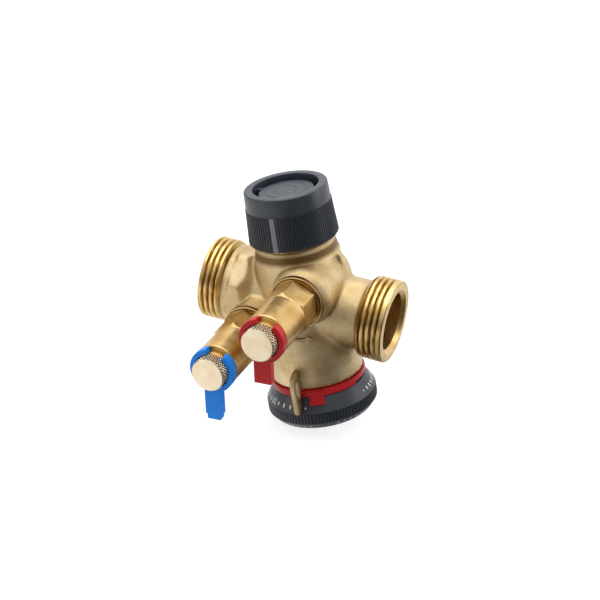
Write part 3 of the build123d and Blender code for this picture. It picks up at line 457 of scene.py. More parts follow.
chambers = [
    (0, bell_foot - 1),
    (lower_bore, bell_foot - 1),
    (lower_bore, lower_bore_top),
    (lower_chamber, lower_bore_top),
    (lower_chamber, partition_foot),
    (partition_bore, partition_foot),
    (partition_bore, partition_top),
    (upper_chamber, partition_top),
    (upper_chamber, chamber_top),
    (head_bore, chamber_top),
    (head_bore, neck_top + 1),
    (0, neck_top + 1),
]
bores = [
    turned("chambers", spindle, chambers, 192),
    plain_rod(inlet_mouth, port_bore + bore_skin, 5, inlet_way_end),
    plain_rod(outlet_mouth, port_bore + bore_skin, 5, outlet_way_end),
    half_way(inlet_mouth, inlet_way_end, centre[0], partition_top, True),
    half_way(outlet_mouth, outlet_way_end, pipe_length - centre[0], partition_foot, False),
]
casting_mesh = cut_away(placed(skin), trims + bores)
casting_mesh.name = "casting"
# Painted shade: points that rose most when the creases were filled are browned, as shade in the hollows.
painted_shade = [max(0.0, rise[rises.find(vertex.co)[1]]) for vertex in casting_mesh.vertices]
painted(casting_mesh, "painted_shade", painted_shade)
smoothly_shaded(casting_mesh, 40)
casting = placed(casting_mesh, cast_brass)
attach(casting, "valve")
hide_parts("valve_body")


# The two pipe ends
# Each arm ends in a turned one inch pipe thread with a chamfered mouth, cut in the same brass.
pipe_crest = 16.62
pipe_root = 15.3
pipe_pitch = 2.309
pipe_chamfer = 0.45
mouth_depth = 1.5
outlet_band = 1.9
thread_row = 0.25


def screw_thread(start, end, crest, root, pitch, fade=0.6):
    """Cuts a rounded screw thread into the outside of a turned piece between two heights."""

    def shape(radius, height, turn):
        phase = (height / pitch - turn / (2 * math.pi)) % 1
        slope = np.clip((np.abs(phase - 0.5) * 2 - 0.08) / 0.52, 0, 1)
        valley = root + (crest - root) * (1 - np.cos(math.pi * slope)) / 2
        inside = np.clip((height - start) / fade, 0, 1) * np.clip((end - height) / fade, 0, 1)
        cut = np.minimum(radius, crest - (crest - valley) * inside)
        return np.where(radius > root - 0.05, cut, radius), height

    return shape


def lathe_brass(name, pale, deep, roughness=0.32, lines=0.2):
    """Machined brass: smooth, golden, fine tool marks that run round the piece, painted shade in grooves."""
    material, tree, surface = new_material(name)
    along_outline = {"W": stored(tree, "run"), "Scale": 5.0, "Detail": 4.0}
    marks = add_node(tree, "TexNoise", along_outline, noise_dimensions="1D").outputs["Fac"]
    broad = ranged(tree, specks(tree, 5.0), 0.35, 0.65, 0, 1)
    tint = mixed(tree, broad, deep, pale)
    lined = mixed(tree, ranged(tree, marks, 0.3, 0.55, 0.3, 0), tint, deep)
    # Painted shade: dark brown down in the grooves, by the stored groove value.
    shaded = mixed(tree, stored(tree, "groove"), lined, (0.12, 0.06, 0.02, 1))
    worn = ranged(tree, specks(tree, 1.2), 0.3, 0.7, roughness - 0.04, roughness + 0.07)
    coloured(tree, surface, shaded, worn)
    surface.inputs["Metallic"].default_value = 1.0
    embossed(tree, surface, lines, 0.02, mixed(tree, 0.12, marks, specks(tree, 0.35, 2.0)))
    return material


turned_brass = lathe_brass("turned_brass", (0.8, 0.58, 0.26, 1), (0.6, 0.39, 0.13, 1))

for name, mouth, length, band, way_end in (
    ("inlet_pipe_end", inlet_mouth, inlet_thread_length, 0.3, inlet_way_end),
    ("outlet_pipe_end", outlet_mouth, outlet_thread_length, outlet_band, outlet_way_end),
):
    end_outline = [
        (port_bore, way_end),
        (port_bore + bore_skin, way_end),
        (port_bore + bore_skin, length),
        (pipe_root - 0.1, length),
        (pipe_crest - 0.2, length - 1.2, 0.3),
        (pipe_crest, length - 1.6),
        (pipe_crest, pipe_chamfer, 0.4),
        (pipe_crest - pipe_chamfer, 0, 0.35),
        (port_mouth, 0, 0.2),
        (port_bore, mouth_depth, 0.3),
    ]
    thread = screw_thread(band, length - 0.8, pipe_crest, pipe_root, pipe_pitch)
    end_mesh = turned(name, mouth, end_outline, 168, thread_row, thread)
    # Painted shade: the thread's valleys are darkened, more the deeper they lie.
    from_line = [math.hypot(vertex.co.y, vertex.co.z) / mm for vertex in end_mesh.vertices]
    depths = pipe_crest - np.array(from_line)
    in_thread = (depths > 0.1) & (depths < pipe_crest - pipe_root + 0.01)
    shares = np.where(in_thread, depths / (pipe_crest - pipe_root), 0)
    painted(end_mesh, "groove", 0.6 * shares**2)
    pipe_end = placed(end_mesh, turned_brass)
    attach(pipe_end, "valve")


# The actuator collar
# The collar at the top of the casting is turned and threaded. The cap or an actuator screws on it.
collar_radius = 15.0
collar_root = 14.2
collar_pitch = 1.5
collar_outline = [
    (head_bore, neck_top),
    (collar_radius - 0.6, neck_top),
    (collar_radius, neck_top + 0.6),
    (collar_radius, collar_top - 0.9, 0.3),
    (collar_radius - 0.9, collar_top, 0.2),
    (head_seat_radius, collar_top, 0.2),
    (head_seat_radius, head_seat_height),
    (head_bore, head_seat_height),
]
collar_thread = screw_thread(
    neck_top + 1.0, collar_top, collar_radius, collar_root, collar_pitch, 0.5
)
collar_mesh = turned("actuator_collar", spindle, collar_outline, 168, thread_row, collar_thread)
collar = placed(collar_mesh, turned_brass)
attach(collar, "valve")


def about_spindle(mesh):
    """The radius, height and turn about the spindle line of each point of a mesh."""
    points = np.array([vertex.co for vertex in mesh.vertices]) / mm - centre
    heights = points @ spindle_up
    across = points @ spindle[2]
    away = points @ np.cross(spindle_up, spindle[2])
    return np.hypot(across, away), heights, np.arctan2(away, across)


neck_outline = [
    (neck_radius, neck_foot - 0.8),
    (17.3, neck_foot - 0.8),
    (16.75, 21.5, 0.8),
    (16.4, 23.0, 1.0),
    (16.0, 24.9, 0.6),
    (15.15, 26.2, 0.4),
    (neck_radius - 0.6, 26.2),
]
neck_mesh = turned("collar_neck", spindle, neck_outline, 160, 0.6)
# Painted shade: the neck's wall is browned between the lip and the foot, where it lies in shade under the cap.
neck_heights = about_spindle(neck_mesh)[1]
under_lip = (neck_top - 0.4 - neck_heights) / 1.2
above_foot = (neck_heights - neck_foot + 0.6) / 2.4
painted(neck_mesh, "painted_shade", np.clip(np.minimum(under_lip, above_foot), 0, 0.85))
neck_band = placed(neck_mesh, cast_brass)
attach(neck_band, "valve")


# The boss faces
# The two bosses are faced off square, with a fine ring round the hexagon of the test point.
boss_radius = 10.75
for side, line in test_points.items():
    face_outline = [
        (point_hole, -2.0),
        (boss_radius, -2.0),
        (boss_radius, -0.25, 0.1),
        (boss_radius - 0.2, -0.05, 0.1),
        (boss_radius - 0.5, -0.05),
        (boss_radius - 0.56, -0.7),
        (boss_radius - 0.92, -0.7),
        (boss_radius - 0.98, 0),
        (boss_radius - 1.35, 0, 0.1),
        (boss_radius - 1.5, -0.2),
        (point_hole, -0.2),
    ]
    face_mesh = turned(side + "_boss_face", line, face_outline, 144, 0.5)
    # Painted shade: the fine ring's groove is darkened, more the deeper it lies.
    depths = [(np.array(vertex.co) / mm - line[0]) @ line[1] for vertex in face_mesh.vertices]
    painted(face_mesh, "groove", np.clip((-0.1 - np.array(depths)) / 0.3, 0, 0.9))
    boss_face = placed(face_mesh, turned_brass)
    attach(boss_face, "valve")


# The flow arrow
# A raised arrow is cast on the front of the housing and points the way that the water goes.
arrow_middle = (-75.0, -10.0)
arrow_length, arrow_width = 7.6, 3.6
arrow_stroke, arrow_head = 1.25, 2.8
arrow_height, arrow_root = 0.9, 0.5
arrow_bend = 17.0
casting_surface = BVHTree.FromPolygons(
    [vertex.co for vertex in casting_mesh.vertices],
    [polygon.vertices for polygon in casting_mesh.polygons],
)


def on_spindle(radius, turn, height):
    """A point about the spindle line, from its radius, its turn in degrees and its height."""
    origin, up, zero = spindle
    angle = math.radians(turn)
    outward = zero * math.cos(angle) + np.cross(up, zero) * math.sin(angle)
    return origin + up * height + outward * radius


def casting_radius(turn, height):
    """How far the outside of the casting lies from the spindle line, in millimetres."""
    outside = on_spindle(40, turn, height)
    axis_point = on_spindle(0, turn, height)
    hit = casting_surface.ray_cast(Vector(outside * mm), Vector(axis_point - outside))
    return 40 - hit[3] / mm


def bevelled(mesh, width, limit=35, segments=3):
    """A mesh whose edges sharper than a limit are rounded by a width in millimetres."""
    thing = placed(mesh)
    bevel = thing.modifiers.new("round", "BEVEL")
    bevel.width = width * mm
    bevel.segments = segments
    bevel.angle_limit = math.radians(limit)
    bevel.use_clamp_overlap = True
    return applied(thing)


def closed_mesh(name, points, faces):
    """A finished mesh whose faces all look outward."""
    mesh = finished_mesh(name, points, faces)
    work = bmesh.new()
    work.from_mesh(mesh)
    bmesh.ops.recalc_face_normals(work, faces=work.faces[:])
    work.to_mesh(mesh)
    work.free()
    return mesh


def prism(name, foot, top):
    """A closed piece between two outlines of equally many points."""
    count = len(foot)
    ends = [list(range(count))[::-1], list(range(count, 2 * count))]
    sides = [[k, (k + 1) % count, count + (k + 1) % count, count + k] for k in range(count)]
    return closed_mesh(name, foot + top, ends + sides)


tail, tip = -arrow_length / 2, arrow_length / 2
neck = tip - arrow_head
shaft = [tail + (neck - tail) * k / 4 for k in range(5)]
arrow = [(x, -arrow_stroke / 2) for x in shaft]
arrow += [(neck, -arrow_width / 2), (tip, 0), (neck, arrow_width / 2)]
arrow += [(x, arrow_stroke / 2) for x in reversed(shaft)]
arrow_foot, arrow_top = [], []
for x, y in arrow:
    height = arrow_middle[1] + y
    turn = arrow_middle[0] + math.degrees(x / arrow_bend)
    radius = casting_radius(turn, height)
    arrow_foot.append(on_spindle(radius - arrow_root, turn, height))
    arrow_top.append(on_spindle(radius + arrow_height, turn, height))
arrow_mesh = bevelled(prism("flow_arrow", arrow_foot, arrow_top), 0.2)
# Painted shade: the arrow's sides and foot are browned, from a lip a little over half its height down.
arrow_lip = casting_radius(*arrow_middle) + 0.55 * arrow_height
painted(arrow_mesh, "painted_shade", np.clip((arrow_lip - about_spindle(arrow_mesh)[0]) / 0.3, 0, 1))
flow_arrow = placed(arrow_mesh, cast_brass)
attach(flow_arrow, "valve")


# The seal lug
# A thin eye cast on the bell stands over the dial's scale. A seal wire goes through its hole and
# round the locking ring's tab.
lug_turn, lug_width = -90.0, 2.2
lug_top, lug_foot, lug_reach = -22.3, -39.6, 25.2
lug_round = 0.75
lug_outline = [
    (bell_radius - 0.6, lug_top),
    (20.8, lug_top, 0.3),
    (24.2, -23.6, 2.2),
    (lug_reach, -27.2, 2.0),
    (lug_reach, lug_foot, 1.3),
    (22.46, lug_foot, 0.4),
    (19.75, -34.35, 0.3),
    (19.75, -31.2, 0.4),
    (bell_radius - 0.6, -31.1),
]
lug_eye = np.array((22.6, -29.2))
eye_half_width, eye_half_length = 1.2, 3.5


def eye_edge(direction):
    """Where a line from the middle of the lug's round-ended hole meets the hole's edge."""
    steps = np.linspace(0, 4, 801)[:, None] * direction
    beyond = np.maximum(np.abs(steps[:, 1]) - (eye_half_length - eye_half_width), 0)
    return steps[(np.hypot(steps[:, 0], beyond) <= eye_half_width).sum() - 1]


outer_edge = drawn(lug_outline, True, 0.5)
towards_edge = [(point - lug_eye) / np.linalg.norm(point - lug_eye) for point in outer_edge]
inner_edge = [lug_eye + eye_edge(direction) for direction in towards_edge]
count = len(outer_edge)
lug_points, lug_faces = [], []
for side in (-1, 1):
    for edge in (outer_edge, inner_edge):
        for radius, height in edge:
            middle = on_spindle(radius, lug_turn, height)
            lug_points.append(middle + spindle[2] * side * lug_width / 2)
for k in range(count):
    j = (k + 1) % count
    near_outer, near_inner, far_outer, far_inner = [
        (ring_start + k, ring_start + j) for ring_start in range(0, 4 * count, count)
    ]
    lug_faces += [[*near_outer, *near_inner[::-1]], [far_outer[0], *far_inner, far_outer[1]]]
    lug_faces += [[near_outer[0], *far_outer, near_outer[1]], [*near_inner, *far_inner[::-1]]]
lug_mesh = bevelled(closed_mesh("seal_lug", lug_points, lug_faces), lug_round, 50, 4)
# The same painted shade value browns the whole lug evenly, a little.
painted(lug_mesh, "painted_shade", np.full(len(lug_mesh.vertices), 0.3))
lug = placed(lug_mesh, cast_brass)
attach(lug, "valve")


# The head insert
# A turned brass insert with a hexagon screws down into the collar and guides the stem.
head_flats = 17.0
head_hex_foot, head_hex_top = 34.6, 37.2


def hexagon(flats, corner_turn, foot, top, least):
    """Mills six flats on the rows of a turned piece that lie between two heights."""

    def shape(radius, height, turn):
        from_flat = (turn - math.radians(corner_turn)) % (math.pi / 3) - math.pi / 6
        flat = flats / 2 / np.cos(from_flat)
        milled = (height > foot - 0.01) & (height < top + 0.01) & (radius > least)
        return np.where(milled, np.minimum(radius, flat), radius), height

    return shape


head_outline = [
    (5.6, 13.0),
    (8.6, 13.0),
    (9.4, 13.8),
    (9.4, 24.0),
    (11.48, 24.0),
    (11.48, 24.5),
    (9.93, 24.5),
    (9.93, 26.3),
    (11.48, 26.3),
    (11.48, 33.02),
    (12.6, 33.02, 0.15),
    (12.6, 34.5, 0.25),
    (9.9, 34.59),
    (9.9, head_hex_foot),
    (9.8, head_hex_top - 0.6),
    (8.7, head_hex_top, 0.15),
    (4.24, head_hex_top, 0.15),
    (4.24, 33.8),
    (3.55, 33.8),
    (3.55, 28.5),
    (2.05, 28.5),
    (2.05, 28.0),
    (5.6, 28.0),
]
head_shape = hexagon(head_flats, 0, head_hex_foot, head_hex_top, 6.0)
head_mesh = turned("head_insert_turned", spindle, head_outline, 120, 0.6, head_shape)
head_insert = placed(head_mesh, turned_brass)
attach(head_insert, "valve")
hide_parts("head_insert")


# The protective cap
# A slate grey moulded cap screws over the actuator collar: a smooth band above a finely ribbed
# skirt with one broad bar, and a sunk disc that two bridges join to the rim.
cap_ribs = 96
cap_rib_depth = 0.42
cap_bar_turn, cap_bar_width, cap_bar_radius, cap_bar_gap = -89.5, 2.1, 17.5, 0.45
cap_band_foot, cap_foot = 41.7, 27.6
cap_bore = 15.85
groove_inner, groove_outer, groove_floor, disc_top = 11.0, 13.1, 42.2, 47.0
bridge_turns, bridge_width, bridge_radius = (-7.0, 172.0), 2.6, 12.0


def ridge(phase, width, soft):
    """A soft-edged ridge on each whole turn of the phase, from 0 to 1."""
    distance = np.abs((phase + 0.5) % 1 - 0.5)
    return np.clip((width / 2 - distance) / soft + 0.5, 0, 1)


def off_place(turn, place):
    """How far a turn in radians lies from a place in degrees, either way round."""
    return np.abs((turn - math.radians(place) + math.pi) % (2 * math.pi) - math.pi)


def cap_relief(turn):
    """How high the cap's ribs and its bar stand in a direction, and how much of that is the bar."""
    ribs = ridge(turn / (2 * math.pi) * cap_ribs, 0.44, 0.2)
    inside_bar = cap_bar_width / 2 - off_place(turn, cap_bar_turn) * cap_bar_radius
    bar = np.clip(inside_bar / 0.1 + 0.5, 0, 1)
    bare = np.clip((inside_bar + cap_bar_gap) / 0.1 + 0.5, 0, 1)
    return np.maximum(ribs * (1 - bare), bar * 1.15), bar


def cap_shape(radius, height, turn):
    """Raises the cap's ribs and bar and the two bridges over its groove."""
    relief = cap_relief(turn)[0]
    run_in = np.clip((height - cap_foot - 0.25) / 0.35, 0, 1)
    skirt = (height < cap_band_foot - 0.05) & (height > cap_foot + 0.1) & (radius > 16.2)
    radius = np.where(skirt, radius + cap_rib_depth * relief * run_in, radius)
    groove = (height < disc_top - 0.5) & (height > groove_floor - 0.1)
    groove &= (radius > groove_inner - 0.2) & (radius < groove_outer + 0.2)
    for place in bridge_turns:
        on_bridge = groove & (off_place(turn, place) * bridge_radius < bridge_width / 2)
        height = np.where(on_bridge, disc_top - 0.12, height)
    return radius, height


def moulded_plastic(name, colour, roughness, pale=1.25, gloss=0.6, well=None):
    """Satin moulded plastic: an even colour, a fine grain, painted shade in wells and a paler patch."""
    material, tree, surface = new_material(name)
    lighter = (*[min(1.0, value * pale) for value in colour], 1)
    base = mixed(tree, ranged(tree, specks(tree, 6.0), 0.35, 0.7, 0, 1), (*colour, 1), lighter)
    if well:
        # Painted shade: near black where a mesh stores a well value.
        base = mixed(tree, stored(tree, "well"), base, (*well, 1))
        # A paler grey where a mesh asks for it.
        base = mixed(tree, stored(tree, "paler_patch"), base, (0.17, 0.18, 0.22, 1))
    worn = ranged(tree, specks(tree, 2.2), 0.3, 0.7, roughness - 0.05, roughness + 0.08)
    coloured(tree, surface, base, worn)
    surface.inputs["Specular IOR Level"].default_value = gloss
    embossed(tree, surface, 0.1, 0.05, specks(tree, 0.16, 2.0))
    return material


slate = (0.026, 0.033, 0.045)
slate_plastic = moulded_plastic("slate_plastic", slate, 0.36, well=(0.006, 0.007, 0.008))

cap_outline = [
    (0, 41.4),
    (0, disc_top),
    (4.1, disc_top),
    (4.25, disc_top + 0.1),
    (4.45, disc_top + 0.1),
    (4.6, disc_top),
    (7.6, disc_top),
    (7.8, disc_top + 0.14),
    (8.05, disc_top + 0.14),
    (8.25, disc_top),
    (groove_inner - 0.1, disc_top, 0.25),
    (groove_inner, disc_top - 0.6),
    (groove_inner, groove_floor + 2),
    (groove_inner, groove_floor),
    (groove_inner + 0.7, groove_floor),
    (groove_outer - 0.7, groove_floor),
    (groove_outer, groove_floor),
    (groove_outer, groove_floor + 2),
    (groove_outer, disc_top - 0.6),
    (groove_outer, 49.0, 0.4),
    (16.56, 49.0, 0.75),
    (16.72, 45.5),
    (16.85, cap_band_foot + 0.25, 0.2),
    (16.78, cap_band_foot, 0.1),
    (16.72, cap_band_foot - 0.1),
    (16.82, 39.0),
    (17.15, 34.0),
    (17.52, cap_foot + 0.6),
    (17.58, cap_foot + 0.25, 0.2),
    (17.45, cap_foot, 0.15),
    (cap_bore + 0.5, cap_foot, 0.15),
    (cap_bore, cap_foot + 0.8),
    (cap_bore, 36.6),
    (13.8, 37.4),
    (13.8, 41.4),
]
cap_mesh = turned("protective_cap_moulded", spindle, cap_outline, cap_ribs * 8, None, cap_shape)
radii, heights, turns = about_spindle(cap_mesh)
# Painted shade: the groove's floor goes near black, and the valleys between the skirt's ribs darker.
in_groove = (radii > groove_inner - 0.3) & (radii < groove_outer + 0.3)
in_groove &= heights > groove_floor - 0.2
in_groove = np.where(in_groove, np.clip((disc_top - 0.7 - heights) / 1.2, 0, 1), 0)
on_skirt = (radii > 16.2) & (heights < cap_band_foot - 0.05) & (heights > cap_foot + 0.3)
relief, bar = cap_relief(turns)
painted(cap_mesh, "well", np.maximum(in_groove, 0.45 * on_skirt * (1 - relief)))
# The broad bar on the skirt is painted a paler grey.
painted(cap_mesh, "paler_patch", on_skirt * bar)
cap = placed(cap_mesh, slate_plastic)
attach(cap, "protective_cap")
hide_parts("protective_cap")


def nut_thread(start, end, crest, root, pitch):
    """Cuts a rounded screw thread into the inside of a turned piece between two heights."""

    def shape(radius, height, turn):
        phase = (height / pitch - turn / (2 * math.pi)) % 1
        valley = crest + (root - crest) * (1 - np.cos(2 * math.pi * phase)) / 2
        inside = np.clip((height - start) / 0.6, 0, 1) * np.clip((end - height) / 0.6, 0, 1)
        return np.where(radius < crest + 0.1, radius + (valley - crest) * inside, radius), height

    return shape


cap_thread_foot, cap_thread_top = 28.4, 36.4
cap_thread_crest, cap_thread_root = 15.05, 15.7
thread_outline = [
    (cap_thread_crest, cap_thread_foot, 0.2),
    (cap_bore + 0.02, cap_thread_foot),
    (cap_bore + 0.02, cap_thread_top),
    (cap_thread_crest, cap_thread_top, 0.2),
]
thread_shape = nut_thread(
    cap_thread_foot + 0.2, cap_thread_top - 0.2, cap_thread_crest, cap_thread_root, collar_pitch
)
thread_mesh = turned("cap_inside_thread", spindle, thread_outline, 144, thread_row, thread_shape)
cap_thread = placed(thread_mesh, slate_plastic)
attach(cap_thread, "protective_cap")


# The locking ring
# A red moulded ring turns under the bell and holds the dial's setting. It is deeper along the
# front, and its tab lies over the dial's cone.
ring_inner, ring_outer = 17.35, 19.25
ring_top, ring_foot, ring_deep_foot = -31.5, -33.6, -34.35
deep_from, deep_to = -140.0, -16.0
tab_from, tab_to, tab_foot = -78.25, -61.75, -37.0
tab_round = 0.25


def ring_shape(radius, height, turn):
    """Lowers the ring's foot along its front."""
    degrees = np.degrees(turn) - 360 * (np.degrees(turn) > 180)
    deep = (height < ring_foot + 0.3) & (degrees > deep_from) & (degrees < deep_to)
    return radius, np.where(deep, height + ring_deep_foot - ring_foot, height)


red_plastic = moulded_plastic("red_plastic", (0.5, 0.01, 0.014), 0.34, 1.12, gloss=0.3)
ring_outline = [
    (ring_inner, ring_foot, 0.1),
    (ring_outer, ring_foot, 0.2),
    (ring_outer, ring_foot + 0.7),
    (ring_outer, ring_top, 0.35),
    (ring_inner, ring_top, 0.1),
]
ring_mesh = turned("locking_ring_moulded", spindle, ring_outline, 360, None, ring_shape)
ring = placed(ring_mesh, red_plastic)
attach(ring, "locking_ring")
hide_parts("locking_ring")

tab_outline = [
    (ring_outer - 0.6, ring_top - 0.25),
    (ring_outer + 1.2, ring_top - 0.6),
    (21.85, tab_foot + 0.05),
    (20.76, tab_foot),
    (ring_outer + 0.05, -34.7),
    (ring_outer - 0.6, ring_deep_foot + 0.05),
]
tab_mesh = turned("locking_tab", spindle, tab_outline, 12, arc=(tab_from, tab_to))
tab = placed(bevelled(tab_mesh, tab_round, 50), red_plastic)
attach(tab, "locking_ring")


# The preset dial
# A slate grey moulded dial under the bell sets the greatest flow. Its cone carries a printed scale
# of marks and plain numbers, and its rim has fine ribs for the fingers.
dial_ribs = 100
dial_rib_depth = 0.42
dial_rim, dial_rim_height = 18.95, -34.65
dial_wide, rib_valley, rib_top, rib_foot = 22.45, 22.1, -40.4, -45.1
dial_foot, dial_foot_radius = -47.8, 20.7
square_half = 2.15
scale_start, scale_steps, first_step, last_step = -11.0, 35, 7.0, 9.38
number_every = 5
scale_height, scale_radius = -38.2, 21.1
mark_width, mark_length, mark_round, end_mark_share = 0.8, 1.45, 0.3, 0.55
number_size = 3.5
foot_number_size, foot_number_height, foot_number_radius = 1.7, -46.3, 21.2
foot_number_start, foot_number_step, foot_number_gap = -104.0, 7.5, 3
print_rise = 0.06


def dial_shape(radius, height, turn):
    """Raises the dial's ribs and squares the hole in its hub."""
    ribs = ridge(turn / (2 * math.pi) * dial_ribs, 0.5, 0.22)
    grip = (height < rib_top - 0.1) & (height > rib_foot + 0.1) & (radius > rib_valley - 0.2)
    radius = np.where(grip, radius + dial_rib_depth * ribs, radius)
    square = square_half / np.maximum(np.abs(np.cos(turn)), np.abs(np.sin(turn)))
    return np.where(radius < 3, square, radius), height


dial_outline = [
    (3.55, dial_foot, 0.2),
    (dial_foot_radius - 0.6, dial_foot, 0.4),
    (dial_foot_radius, dial_foot + 0.6, 0.3),
    (rib_valley, rib_foot - 0.15, 0.1),
    (rib_valley, rib_foot + 0.15),
    (rib_valley, rib_foot + 0.5),
    (rib_valley, rib_top - 0.5),
    (rib_valley, rib_top - 0.15),
    (rib_valley + 0.05, rib_top, 0.08),
    (dial_wide, rib_top + 0.02, 0.15),
    (dial_rim, dial_rim_height, 0.3),
    (dial_rim - 2.0, dial_rim_height, 0.2),
    (20.1, rib_top),
    (20.1, dial_foot + 2.0),
    (5.2, dial_foot + 2.0),
    (5.2, -42.0, 0.2),
    (2.5, -42.0),
    (2.5, dial_foot + 2.2),
    (3.55, dial_foot + 2.2),
]
dial_mesh = turned("preset_dial_moulded", spindle, dial_outline, dial_ribs * 8, None, dial_shape)
radii, heights, turns = about_spindle(dial_mesh)
# Painted shade: the valleys between the grip's ribs are darkened.
on_grip = (radii > rib_valley - 0.2) & (heights < rib_top - 0.1) & (heights > rib_foot + 0.1)
valleys = 1 - ridge(turns / (2 * math.pi) * dial_ribs, 0.5, 0.22)
painted(dial_mesh, "well", 0.6 * on_grip * valleys)
dial = placed(dial_mesh, slate_plastic)
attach(dial, "preset")
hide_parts("preset_dial")


def number_patch(text, size, turn, height):
    """A plain number as a flat patch: its points, faces, and the turn and height of its middle."""
    curve = bpy.data.curves.new("number", "FONT")
    curve.body = text
    curve.size = size
    curve.align_x, curve.align_y = "CENTER", "CENTER"
    curve.resolution_u = 3
    thing = bpy.data.objects.new("number", curve)
    bpy.context.scene.collection.objects.link(thing)
    mesh = applied(thing)
    points = [(vertex.co.x, vertex.co.y) for vertex in mesh.vertices]
    return points, [list(face.vertices) for face in mesh.polygons], turn, height


def printed(name, patches, wall_radius, middle_radius):
    """Flat patches laid on a wall about the spindle line and given the thickness of paint.
    A patch is its points, its faces, and the turn and height of its middle."""
    paint = bmesh.new()
    for points, faces, turn, height in patches:
        corners = []
        for x, y in points:
            under = wall_radius(height + y) - print_rise
            place = on_spindle(under, turn + math.degrees(x / middle_radius), height + y)
            corners.append(paint.verts.new(Vector(place * mm)))
        for face in faces:
            paint.faces.new([corners[k] for k in face])
    raised = bmesh.ops.extrude_face_region(paint, geom=paint.faces[:])
    for part in raised["geom"]:
        if isinstance(part, bmesh.types.BMVert):
            outward = part.co / mm - Vector(centre)
            outward -= Vector(spindle_up) * outward.dot(Vector(spindle_up))
            part.co += outward.normalized() * print_rise * 2 * mm
    bmesh.ops.recalc_face_normals(paint, faces=paint.faces[:])
    mesh = bpy.data.meshes.new(name)
    paint.to_mesh(mesh)
    paint.free()
    return mesh


def cone_radius(height):
    """The outside of the dial's cone at a height."""
    share = (dial_rim_height - height) / (dial_rim_height - rib_top)
    return dial_rim + (dial_wide - dial_rim) * share


def foot_radius(height):
    """The outside of the dial's smooth foot at a height."""
    share = (height - dial_foot - 0.6) / (rib_foot - 0.15 - dial_foot - 0.6)
    return dial_foot_radius + (rib_valley - dial_foot_radius) * share


white_paint = moulded_plastic("white_paint", (0.78, 0.79, 0.8), 0.5, 1.1)
mark_outline = []
for quarter, (x_side, y_side) in enumerate(((1, 1), (-1, 1), (-1, -1), (1, -1))):
    for eighth in range(3):
        corner = math.radians(45 * eighth + 90 * quarter)
        x = x_side * (mark_width / 2 - mark_round) + mark_round * math.cos(corner)
        y = y_side * (mark_length / 2 - mark_round) + mark_round * math.sin(corner)
        mark_outline.append((x, y))
patches = []
turn = scale_start
for k in range(scale_steps + 1):
    if k and k < scale_steps and k % number_every == 0:
        number = str(k // number_every * 10)
        patches.append(number_patch(number, number_size, turn, scale_height))
    else:
        share = end_mark_share if k in (0, scale_steps) else 1
        points = [(x * share, y * share) for x, y in mark_outline]
        patches.append((points, [list(range(len(points)))], turn, scale_height))
    turn += first_step + (last_step - first_step) * k / (scale_steps - 1)
scale = placed(printed("dial_scale", patches, cone_radius, scale_radius), white_paint)
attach(scale, "preset")

patches = []
for k in range(10):
    turn = foot_number_start + foot_number_step * (k + foot_number_gap * (k > 3))
    patches.append(number_patch(str(k), foot_number_size, turn, foot_number_height))
foot_mesh = printed("dial_foot_numbers", patches, foot_radius, foot_number_radius)
foot_numbers = placed(foot_mesh, white_paint)
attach(foot_numbers, "preset")


# The test points
# Each is turned from brass bar: a hexagon that screws into its boss, a plain barrel, a neck for the
# marker and a threaded nose for the knurled cap.
hex_flats, hex_length = 17.0, 12.2
hex_turn = 40
barrel_radius, barrel_end = 8.86, 29.3
marker_neck, neck_end = 6.8, 31.1
nose_radius, nose_end = 5.0, 35.0
nose_pitch = 0.75
point_bore = 3.0
point_outline = [
    (point_bore, -8.5),
    (5.8, -8.5),
    (6.56, -7.7),
    (6.56, -2.1),
    (5.03, -2.1),
    (5.03, -0.3),
    (6.56, -0.3),
    (6.56, 0.02),
    (8.2, 0.02),
    (9.75, 0.85),
    (9.75, hex_length - 0.75),
    (8.95, hex_length, 0.1),
    (barrel_radius, hex_length + 0.15),
    (barrel_radius, 20.0),
    (barrel_radius, barrel_end - 0.1, 0.6),
    (marker_neck + 0.4, barrel_end, 0.2),
    (marker_neck, barrel_end + 0.1),
    (marker_neck, neck_end, 0.25),
    *[(nose_radius, neck_end + 0.02 + 0.13 * k) for k in range(28)],
    (nose_radius, nose_end - 0.25),
    (nose_radius - 0.25, nose_end),
    (1.8, nose_end, 0.2),
    (1.8, 33.8),
    (point_bore, 33.8),
]
bright_brass = lathe_brass(
    "bright_brass", (0.78, 0.54, 0.24, 1), (0.6, 0.37, 0.12, 1), 0.35, 0.12
)
point_hexagon = hexagon(hex_flats, hex_turn, 0.02, hex_length, 6.9)
nose_thread = screw_thread(
    neck_end + 0.2, nose_end - 0.2, nose_radius, nose_radius - 0.4, nose_pitch, 0.3
)


def point_shape(radius, height, turn):
    """Mills the hexagon and threads the nose of a test point."""
    radius, height = point_hexagon(radius, height, turn)
    on_nose = (height > neck_end + 0.1) & (height < nose_end - 0.05)
    return np.where(on_nose, nose_thread(radius, height, turn)[0], radius), height


for side, line in test_points.items():
    body_mesh = turned(side + "_point_turned", line, point_outline, 180, 0.7, point_shape)
    body = placed(body_mesh, bright_brass)
    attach(body, "valve")
    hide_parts(side + "_point_body")


# The markers
# A plastic clip in red or blue snaps round the neck of each test point, open at the top, with a
# tab that hangs below. Red marks the inlet side and blue the outlet side.
marker_inner, marker_outer = 6.87, 9.05
marker_start, marker_length = 29.65, 3.5
gap_middle, gap_arc = 84.0, 50.0
tab_width, tab_turn = 6.9, 5.5
inlet_reach, outlet_reach = 17.8, 21.0
step_length, step_width = 2.1, 5.6


def arc_points(radius, first, last, count):
    """Points along an arc between two directions in degrees."""
    turns = np.radians(np.linspace(first, last, count))
    return [(radius * math.cos(turn), radius * math.sin(turn)) for turn in turns]


